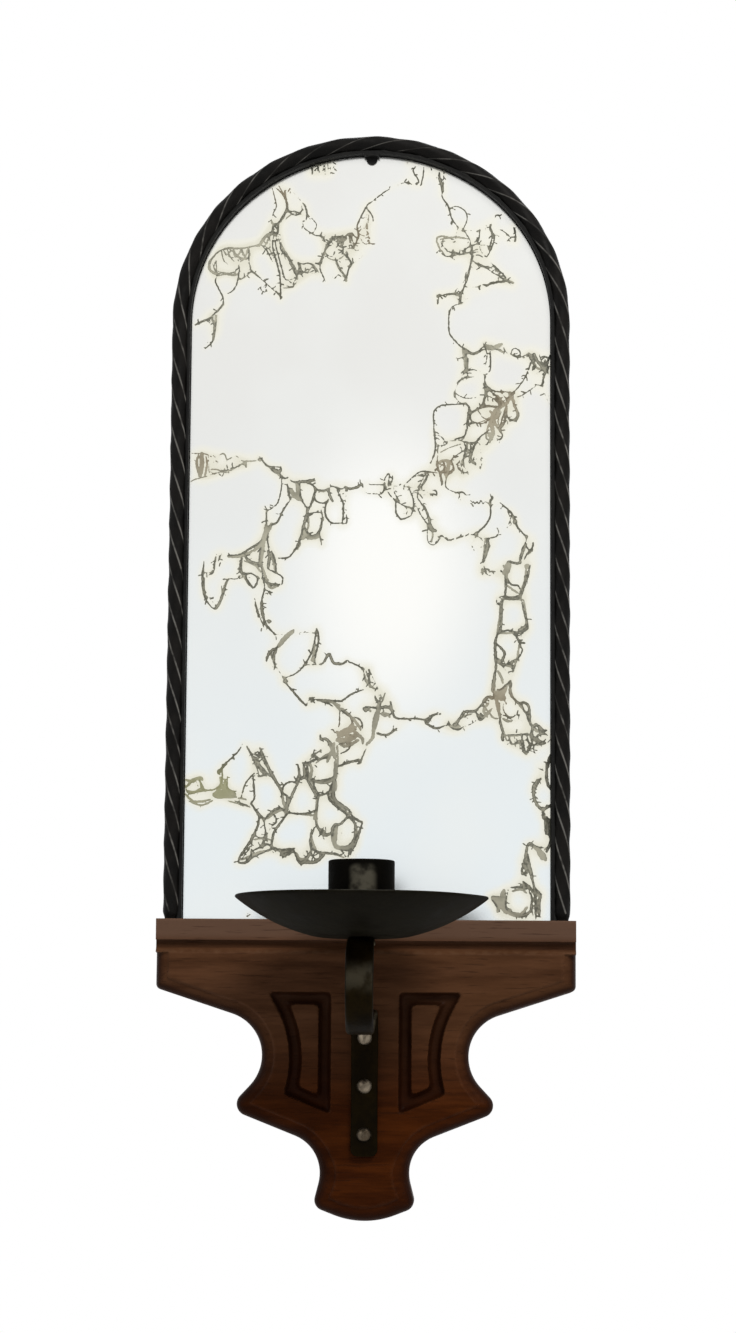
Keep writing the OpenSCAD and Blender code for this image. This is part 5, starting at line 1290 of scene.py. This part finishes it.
# %% Craze on the glass
# The stain ends a little inside the rim. Each grid place inside it gives one quad, whose corners are the
# points of the four cells round the place. A cell's point is its middle or, where the edge of the stain
# runs through the cell, the middle of the crossings
glass_out, stain_out, stain_inset = 10.0, 10.03, 8.3
inside_arch = half_span(stain_inset, 0.0, grid_z, beyond=0.0)[:, None] - np.abs(grid_x)
craze = np.maximum(craze, 0.25 - inside_arch)
craze[[0, -1]] = 1.0
craze[:, [0, -1]] = 1.0
rows, columns = len(grid_z) - 1, len(grid_x) - 1
crossing_x, crossing_z, crossings = np.zeros((3, rows, columns))
for (r0, c0), (r1, c1) in (((0, 0), (0, 1)), ((1, 0), (1, 1)), ((0, 0), (1, 0)), ((0, 1), (1, 1))):
    first = craze[r0 : r0 + rows, c0 : c0 + columns]
    second = craze[r1 : r1 + rows, c1 : c1 + columns]
    cut_here = (first < 0) != (second < 0)
    share = np.where(cut_here, first / np.where(cut_here, first - second, 1), 0)
    crossing_x += cut_here * (c0 + share * (c1 - c0))
    crossing_z += cut_here * (r0 + share * (r1 - r0))
    crossings += cut_here
cell_x = np.where(crossings > 0, crossing_x / np.maximum(crossings, 1), 0.5) + np.arange(columns)
cell_z = np.where(crossings > 0, crossing_z / np.maximum(crossings, 1), 0.5) + np.arange(rows)[:, None]
row, column = np.nonzero(craze < 0)
above_cell = row * columns + column
below_cell = above_cell - columns
corner_cells = np.stack([below_cell - 1, below_cell, above_cell, above_cell - 1], -1)
used, stain_quads = np.unique(corner_cells, return_inverse=True)
stain_x = grid_x[0] + cell * cell_x.ravel()[used]
stain_z = grid_z[0] + cell * cell_z.ravel()[used]
stain = make_piece(
    "mirror_craze", drawn(stain_x, stain_out, stain_z), stain_quads.reshape(-1, 4)
)
# An open sheet has no outside of its own, so it is turned to face the viewer
if stain.data.polygons[0].normal.y > 0:
    stain.data.flip_normals()


def on_stain(field):
    """A grid field's mean at the middle of each cell that gives the stain a point."""
    means = (field[:-1, :-1] + field[:-1, 1:] + field[1:, :-1] + field[1:, 1:]) / 4
    return means.ravel()[used]


mark_points(stain, "depth", -on_stain(craze))
mark_points(stain, "web", np.clip(0.5 + on_stain(dark_field) / 0.25, 0, 1))


def tinted(places, radius):
    """How near each point of the stain lies to one of some places, from 0 to 1."""
    near = np.zeros(len(stain_x))
    for x, z in places:
        near = np.maximum(near, np.exp(-((stain_x - x) ** 2 + (stain_z - z) ** 2) / radius**2))
    return near


# In a few places the stain has turned brown, and in one corner yellow-green
brown_places = [(60, 226), (53, 219), (33, 197), (-9, 81), (57, 95), (-2, 301), (-38, 321), (-72, 199)]
green_places = [(-63, 57), (-74, 57)]
mark_points(stain, "brown", tinted(brown_places, 7.0))
mark_points(stain, "green", tinted(green_places, 9.0))

# %% Glass
glass_inset, glass_foot, glass_back = 8.65, -7.0, 7.0
glass_top = arch_line(glass_inset, glass_foot, 1.0)[1].max() - 0.02
quarter_turn = np.linspace(0, np.pi / 2, 110)
leg_rows = np.arange(glass_foot, spring - 0.5, 1.3)
crown_rows = spring + (glass_top - spring) * np.sin(quarter_turn)
glass_rows = np.concatenate([leg_rows, crown_rows])
pane_x = np.linspace(-1, 1, 122) * half_span(glass_inset, glass_foot, glass_rows)[:, None]
pane_z = np.broadcast_to(glass_rows[:, None], pane_x.shape)
pane_rim = grid_rim(*pane_x.shape)
back_rim = pane_x.size + np.arange(len(pane_rim))
back_face = drawn(pane_x.ravel()[pane_rim], glass_back, pane_z.ravel()[pane_rim])
pane = make_piece(
    "antiqued_glass",
    np.concatenate([drawn(pane_x, glass_out, pane_z), back_face]),
    np.concatenate([grid_quads(*pane_x.shape), wall_quads(pane_rim, back_rim)]),
    [back_rim],
    ["mirror_glass"],
)

# The glass is tinted round the stain where the strokes crowd, and a bright spot in its middle is a painted
# reflection
near_row = np.clip(np.round((pane_z - grid_z[0]) / cell).astype(int), 0, len(grid_z) - 1)
near_column = np.clip(np.round((pane_x - grid_x[0]) / cell).astype(int), 0, len(grid_x) - 1)
tint_round = 1 - np.exp(-0.55 * crowd[near_row, near_column])
reflection_spot = np.exp(-(((pane_x - 8) / 42) ** 2) - ((pane_z - 150) / 70) ** 2)
for name, values in (("halo", tint_round), ("clear", reflection_spot)):
    mark_points(pane, name, np.concatenate([values.ravel(), np.zeros(len(pane_rim))]))

# %% [markdown]
# ## Finishes
#
# Each finish is a small node tree. It starts from the place on the piece, in metres, and from the marks that
# the shapes left on their points, so wear and painted highlights sit on real ridges and edges, and dark
# polish with painted shade in real recesses. Effects that several finishes share, the mottling of old metal
# and the wear with painted highlights along edges, are node groups: each is built once and placed in a
# material with its own values.


# %% Finish helpers
def new_finish(name, **fixed):
    """A material with its shader and the place on the piece. Fixed values go straight on the shader."""
    material = bpy.data.materials.new(name)
    material.use_nodes = True
    tree = material.node_tree
    tree.nodes.clear()
    shader = add_node(tree, "ShaderNodeBsdfPrincipled")
    for socket, value in fixed.items():
        shader.inputs[socket.replace("_", " ")].default_value = value
    add_node(tree, "ShaderNodeOutputMaterial", {"Surface": shader.outputs[0]})
    place = add_node(tree, "ShaderNodeTexCoord").outputs["Object"]
    return material, tree, shader, place


def feed(tree, shader, **sockets):
    """Joins sockets to the shader's inputs."""
    for socket, value in sockets.items():
        tree.links.new(value, shader.inputs[socket.replace("_", " ")])


def raise_surface(tree, height, depth, under=None):
    """A bumped normal from a height, with a depth in millimetres, on top of another normal."""
    inputs = {"Height": height, "Distance": depth / 1000}
    if under is not None:
        inputs["Normal"] = under
    return add_node(tree, "ShaderNodeBump", inputs).outputs[0]


def point_mark(tree, name):
    """A mark that the shape left on its points."""
    return add_node(tree, "ShaderNodeAttribute", attribute_name=name).outputs["Fac"]


def dress(piece, material):
    """Gives a piece one material."""
    piece.data.materials.clear()
    piece.data.materials.append(material)


def shared_effect(name, inputs, outputs):
    """An empty node group with its named sockets. Gives the group and its inner ends."""
    group = bpy.data.node_groups.new(name, "ShaderNodeTree")
    for label, kind in inputs.items():
        group.interface.new_socket(label, in_out="INPUT", socket_type="NodeSocket" + kind)
    for label, kind in outputs.items():
        group.interface.new_socket(label, in_out="OUTPUT", socket_type="NodeSocket" + kind)
    return group, add_node(group, "NodeGroupInput").outputs, add_node(group, "NodeGroupOutput").inputs


def place_effect(tree, group, inputs):
    """A node group placed in a material with its own values."""
    return add_node(tree, "ShaderNodeGroup", inputs, node_tree=group).outputs


# %% Shared effects
mottling, given, result = shared_effect(
    "mottled_metal",
    {"Place": "Vector", "Dark": "Color", "Light": "Color", "Smooth": "Float", "Rough": "Float"},
    {"Colour": "Color", "Roughness": "Float", "Speckle": "Float", "Normal": "Vector"},
)
blotch = mottle(mottling, given["Place"], 9, 6, 0.6)
speckle = mottle(mottling, given["Place"], 1.1, 3, 0.6)
shade = blend_colours(mottling, spread(mottling, blotch, 0.35, 0.7), given["Dark"], given["Light"])
polish = spread(mottling, blotch, 0.2, 0.8, given["Smooth"], given["Rough"])
fine_grain = raise_surface(mottling, speckle, 0.06)
uneven = raise_surface(mottling, mottle(mottling, given["Place"], 5, 2), 0.2, fine_grain)
for socket, value in {"Colour": shade, "Roughness": polish, "Speckle": speckle, "Normal": uneven}.items():
    mottling.links.new(value, result[socket])

# The edge mask carries rubbed wear and, through the marks fed to it, painted highlights
wear_and_highlight, given, result = shared_effect(
    "wear_and_highlight",
    {"Place": "Vector", "Mark": "Float", "From": "Float", "Patch": "Float", "Amount": "Float"},
    {"Mask": "Float"},
)
patches = add_node(
    wear_and_highlight, "ShaderNodeTexNoise", {"Vector": given["Place"], "Scale": given["Patch"], "Detail": 4.0}
).outputs[0]
along_edge = spread(wear_and_highlight, given["Mark"], given["From"], 1.0)
rubbed_and_lit = calculate(wear_and_highlight, "MULTIPLY", along_edge, spread(wear_and_highlight, patches, 0.36, 0.62, 0.15, 1.0))
wear_and_highlight.links.new(calculate(wear_and_highlight, "MULTIPLY", rubbed_and_lit, given["Amount"]), result["Mask"])
print("shared effects", [group.name for group in bpy.data.node_groups])


# %% Black iron
def black_iron_finish(name, dark, light, rubbed_and_lit, start, wear_and_highlight_amount, smooth, specular):
    """Black oil finish on iron: nearly black with brown mottling, lighter on its marked ridges and edges,
    which is rubbed wear and, on some pieces, a painted highlight.
    """
    material, tree, shader, place = new_finish(name, Specular_IOR_Level=specular)
    skin = place_effect(
        tree,
        mottling,
        {"Place": place, "Dark": (*dark, 1), "Light": (*light, 1), "Smooth": smooth, "Rough": smooth + 0.2},
    )
    mask = place_effect(
        tree,
        wear_and_highlight,
        {"Place": place, "Mark": point_mark(tree, "ridge"), "From": start, "Patch": 160.0, "Amount": wear_and_highlight_amount},
    )["Mask"]
    feed(tree, shader, Base_Color=blend_colours(tree, mask, skin["Colour"], (*rubbed_and_lit, 1)))
    feed(tree, shader, Roughness=skin["Roughness"], Normal=skin["Normal"])
    return material


bar_finish = black_iron_finish(
    "blackened_bar",
    dark=(0.004, 0.0038, 0.0034),
    light=(0.009, 0.008, 0.007),
    rubbed_and_lit=(0.26, 0.25, 0.23),
    start=0.72,
    wear_and_highlight_amount=0.75,
    smooth=0.4,
    specular=0.07,
)
strap_finish = black_iron_finish(
    "blackened_strap",
    dark=(0.0045, 0.0026, 0.0004),
    light=(0.0115, 0.007, 0.0014),
    rubbed_and_lit=(0.13, 0.115, 0.08),
    start=0.3,
    wear_and_highlight_amount=0.8,
    smooth=0.36,
    specular=0.025,
)
cup_finish = black_iron_finish(
    "blackened_cup",
    dark=(0.0016, 0.0014, 0.0009),
    light=(0.0042, 0.0036, 0.0024),
    rubbed_and_lit=(0.12, 0.11, 0.082),
    start=0.15,
    wear_and_highlight_amount=0.85,
    smooth=0.45,
    specular=0.015,
)
pan_finish = black_iron_finish(
    "dull_pan_iron",
    dark=(0.0058, 0.0048, 0.0026),
    light=(0.0115, 0.010, 0.0064),
    rubbed_and_lit=(0.06, 0.057, 0.045),
    start=0.4,
    wear_and_highlight_amount=0.5,
    smooth=0.5,
    specular=0.025,
)
sheet_finish = black_iron_finish(
    "blackened_sheet",
    dark=(0.006, 0.006, 0.006),
    light=(0.015, 0.015, 0.014),
    rubbed_and_lit=(0.1, 0.1, 0.1),
    start=1.0,
    wear_and_highlight_amount=0.0,
    smooth=0.5,
    specular=0.1,
)
dress(bar_piece, bar_finish)
dress(strap, strap_finish)
dress(cup, cup_finish)
dress(pan, pan_finish)
dress(seam, sheet_finish)
for name in ("mirror_tray", "glass_clip", "hanger_plate", "cup_rivet"):
    dress(nodes[name], sheet_finish)

# %% Mahogany
# The grain is noise drawn out across the board. Lower down the wood is redder, its top edge is paler, and
# polish lies dark in the pores and, with painted shade, in the recesses
material, tree, shader, place = new_finish("mahogany_polish", Specular_IOR_Level=0.03)
drawn_out = add_node(tree, "ShaderNodeMapping", {"Vector": place, "Scale": (0.12, 1.0, 1.0)}).outputs[0]
streak = mottle(tree, drawn_out, 5, 6, 0.62)
broad_streak = mottle(tree, drawn_out, 22, 3, 0.5)
pore_place = add_node(tree, "ShaderNodeMapping", {"Vector": place, "Scale": (0.05, 1.0, 1.0)}).outputs[0]
pores = spread(tree, mottle(tree, pore_place, 0.8, 2, 0.5), 0.60, 0.72)
deep, bright = (0.052, 0.0205, 0.0092, 1), (0.115, 0.050, 0.024, 1)
deep_red, bright_red = (0.030, 0.0062, 0.0008, 1), (0.078, 0.0185, 0.0028, 1)
wood = blend_colours(tree, spread(tree, streak, 0.3, 0.72), deep, bright)
wood = blend_colours(tree, spread(tree, broad_streak, 0.35, 0.7, 0, 0.5), wood, (0.125, 0.053, 0.022, 1))
height_in = add_node(tree, "ShaderNodeSeparateXYZ", {"Vector": place}).outputs["Z"]
low_down = spread(tree, height_in, wood_top - 0.085, wood_top - 0.035, 1.0, 0.0)
red_wood = blend_colours(tree, spread(tree, streak, 0.3, 0.7), deep_red, bright_red)
wood = blend_colours(tree, low_down, wood, red_wood)
near_top = spread(tree, height_in, wood_top - 0.011, wood_top - 0.006, 0.0, 0.75)
wood = blend_colours(tree, near_top, wood, (0.15, 0.088, 0.060, 1))
# Dark polish with painted shade in the recesses
polish_and_shade_share = spread(tree, point_mark(tree, "polish_and_shade"), 0.1, 0.95, 0, 0.85)
wood = blend_colours(tree, polish_and_shade_share, wood, (0.016, 0.0044, 0.0018, 1))
wood = blend_colours(tree, calculate(tree, "MULTIPLY", pores, 0.4), wood, (0.014, 0.0045, 0.0018, 1))
# Pale chips on worn edges, which also serve as painted highlights, strongest on the slope under the groove
chips_and_highlight = place_effect(
    tree,
    wear_and_highlight,
    {"Place": place, "Mark": point_mark(tree, "edge"), "From": 0.1, "Patch": 290.0, "Amount": 0.3},
)["Mask"]
wood = blend_colours(tree, chips_and_highlight, wood, (0.19, 0.10, 0.055, 1))
feed(tree, shader, Base_Color=wood)
feed(tree, shader, Roughness=spread(tree, mottle(tree, place, 12, 4), 0.3, 0.7, 0.34, 0.5))
ribs = raise_surface(tree, streak, 0.1)
feed(tree, shader, Normal=raise_surface(tree, pores, -0.05, ribs))
dress(board, material)
print("finishes", len(bpy.data.materials))

# %% Silvered glass
material, tree, shader, place = new_finish("silvered_glass", Metallic=1.0, Roughness=0.2)
# The base colour carries a painted reflection of the room: bluish lower down, warmer above, cloudy, and
# brightest in the middle
reflection_cloud = mottle(tree, place, 60, 3, 0.5)
height_in = add_node(tree, "ShaderNodeSeparateXYZ", {"Vector": place}).outputs["Z"]
lower_reflection = spread(tree, height_in, -0.30, -0.05)
tone = blend_colours(tree, lower_reflection, (0.80, 0.85, 0.865, 1), (0.80, 0.80, 0.775, 1))
tone = blend_colours(tree, spread(tree, reflection_cloud, 0.4, 0.75, 0, 0.4), tone, (0.85, 0.87, 0.85, 1))
tone = blend_colours(tree, spread(tree, point_mark(tree, "clear"), 0.1, 1.0), tone, (0.97, 0.97, 0.94, 1))
near_stain = spread(tree, point_mark(tree, "halo"), 0.1, 0.75, 0, 0.9)
tone = blend_colours(tree, near_stain, tone, (0.85, 0.835, 0.735, 1))
crowded = spread(tree, point_mark(tree, "halo"), 0.62, 0.95, 0, 0.55)
tone = blend_colours(tree, crowded, tone, (0.70, 0.675, 0.53, 1))
feed(tree, shader, Base_Color=tone)
dress(pane, material)

# %% Craze stain
# A stroke is dark at its edge and greyer inside, and a web is paler. The depth mark says how far inside
material, tree, shader, place = new_finish("craze_stain", Roughness=0.7, Specular_IOR_Level=0.1)
bite = mottle(tree, place, 0.8, 3, 0.6)
inner = calculate(tree, "ADD", point_mark(tree, "depth"), spread(tree, bite, 0.3, 0.7, -0.12, 0.12))
line = blend_colours(tree, spread(tree, inner, 0.22, 0.5), (0.175, 0.175, 0.14, 1), (0.43, 0.42, 0.33, 1))
pale = blend_colours(tree, spread(tree, inner, 0.0, 0.28), (0.34, 0.335, 0.265, 1), (0.55, 0.535, 0.42, 1))
stain_colour = blend_colours(tree, point_mark(tree, "web"), line, pale)
cloudy = spread(tree, mottle(tree, place, 12, 3), 0.4, 0.7, 0, 0.4)
stain_colour = blend_colours(tree, cloudy, stain_colour, (0.09, 0.085, 0.055, 1))
browned = spread(tree, point_mark(tree, "brown"), 0.0, 1.0, 0, 0.4)
stain_colour = blend_colours(tree, browned, stain_colour, (0.41, 0.315, 0.20, 1))
greened = spread(tree, point_mark(tree, "green"), 0.0, 1.0, 0, 0.62)
stain_colour = blend_colours(tree, greened, stain_colour, (0.50, 0.50, 0.27, 1))
feed(tree, shader, Base_Color=stain_colour)
dress(stain, material)

# %% Steel, board and floor
material, tree, shader, place = new_finish("bright_steel", Metallic=1.0)
dark_steel, light_steel = (0.06, 0.045, 0.03, 1), (0.28, 0.235, 0.175, 1)
steel = place_effect(
    tree,
    mottling,
    {"Place": place, "Dark": dark_steel, "Light": light_steel, "Smooth": 0.3, "Rough": 0.55},
)
feed(tree, shader, Base_Color=steel["Colour"], Roughness=steel["Roughness"], Normal=steel["Normal"])
for piece in (screws, nodes["flange_screws"], nodes["hanger_rivets"]):
    dress(piece, material)

material, tree, shader, place = new_finish("pressed_board", Roughness=0.8)
felt = mottle(tree, place, 1.5, 5, 0.7)
feed(tree, shader, Base_Color=blend_colours(tree, felt, (0.10, 0.06, 0.03, 1), (0.22, 0.14, 0.08, 1)))
feed(tree, shader, Normal=raise_surface(tree, felt, 0.2))
dress(nodes["backing_board"], material)

# The floor is a wide disc well below. Its own light shows to the camera and in mirrors only
floor_r, floor_z, floor_sides = 4, -1.2, 96
floor_angle = round_angles(floor_sides)
floor_points = np.stack(
    [floor_r * np.cos(floor_angle), floor_r * np.sin(floor_angle), np.full(floor_sides, floor_z)], -1
)
floor_mesh = bpy.data.meshes.new("floor")
floor_mesh.from_pydata(floor_points.tolist(), [], [list(range(floor_sides))])
floor_piece = bpy.data.objects.new("floor", floor_mesh)
scene.collection.objects.link(floor_piece)
material, tree, shader, place = new_finish(
    "pale_floor", Roughness=0.9, Specular_IOR_Level=0.1, Emission_Strength=0.55
)
plaster = mottle(tree, place, 300, 3)
feed(tree, shader, Base_Color=blend_colours(tree, plaster, grey(0.80), grey(0.84)))
ray = add_node(tree, "ShaderNodeLightPath").outputs
seen_floor = calculate(tree, "MAXIMUM", ray["Is Camera Ray"], ray["Is Glossy Ray"])
feed(tree, shader, Emission_Color=blend_colours(tree, seen_floor, grey(0.0), grey(1.0)))
dress(floor_piece, material)
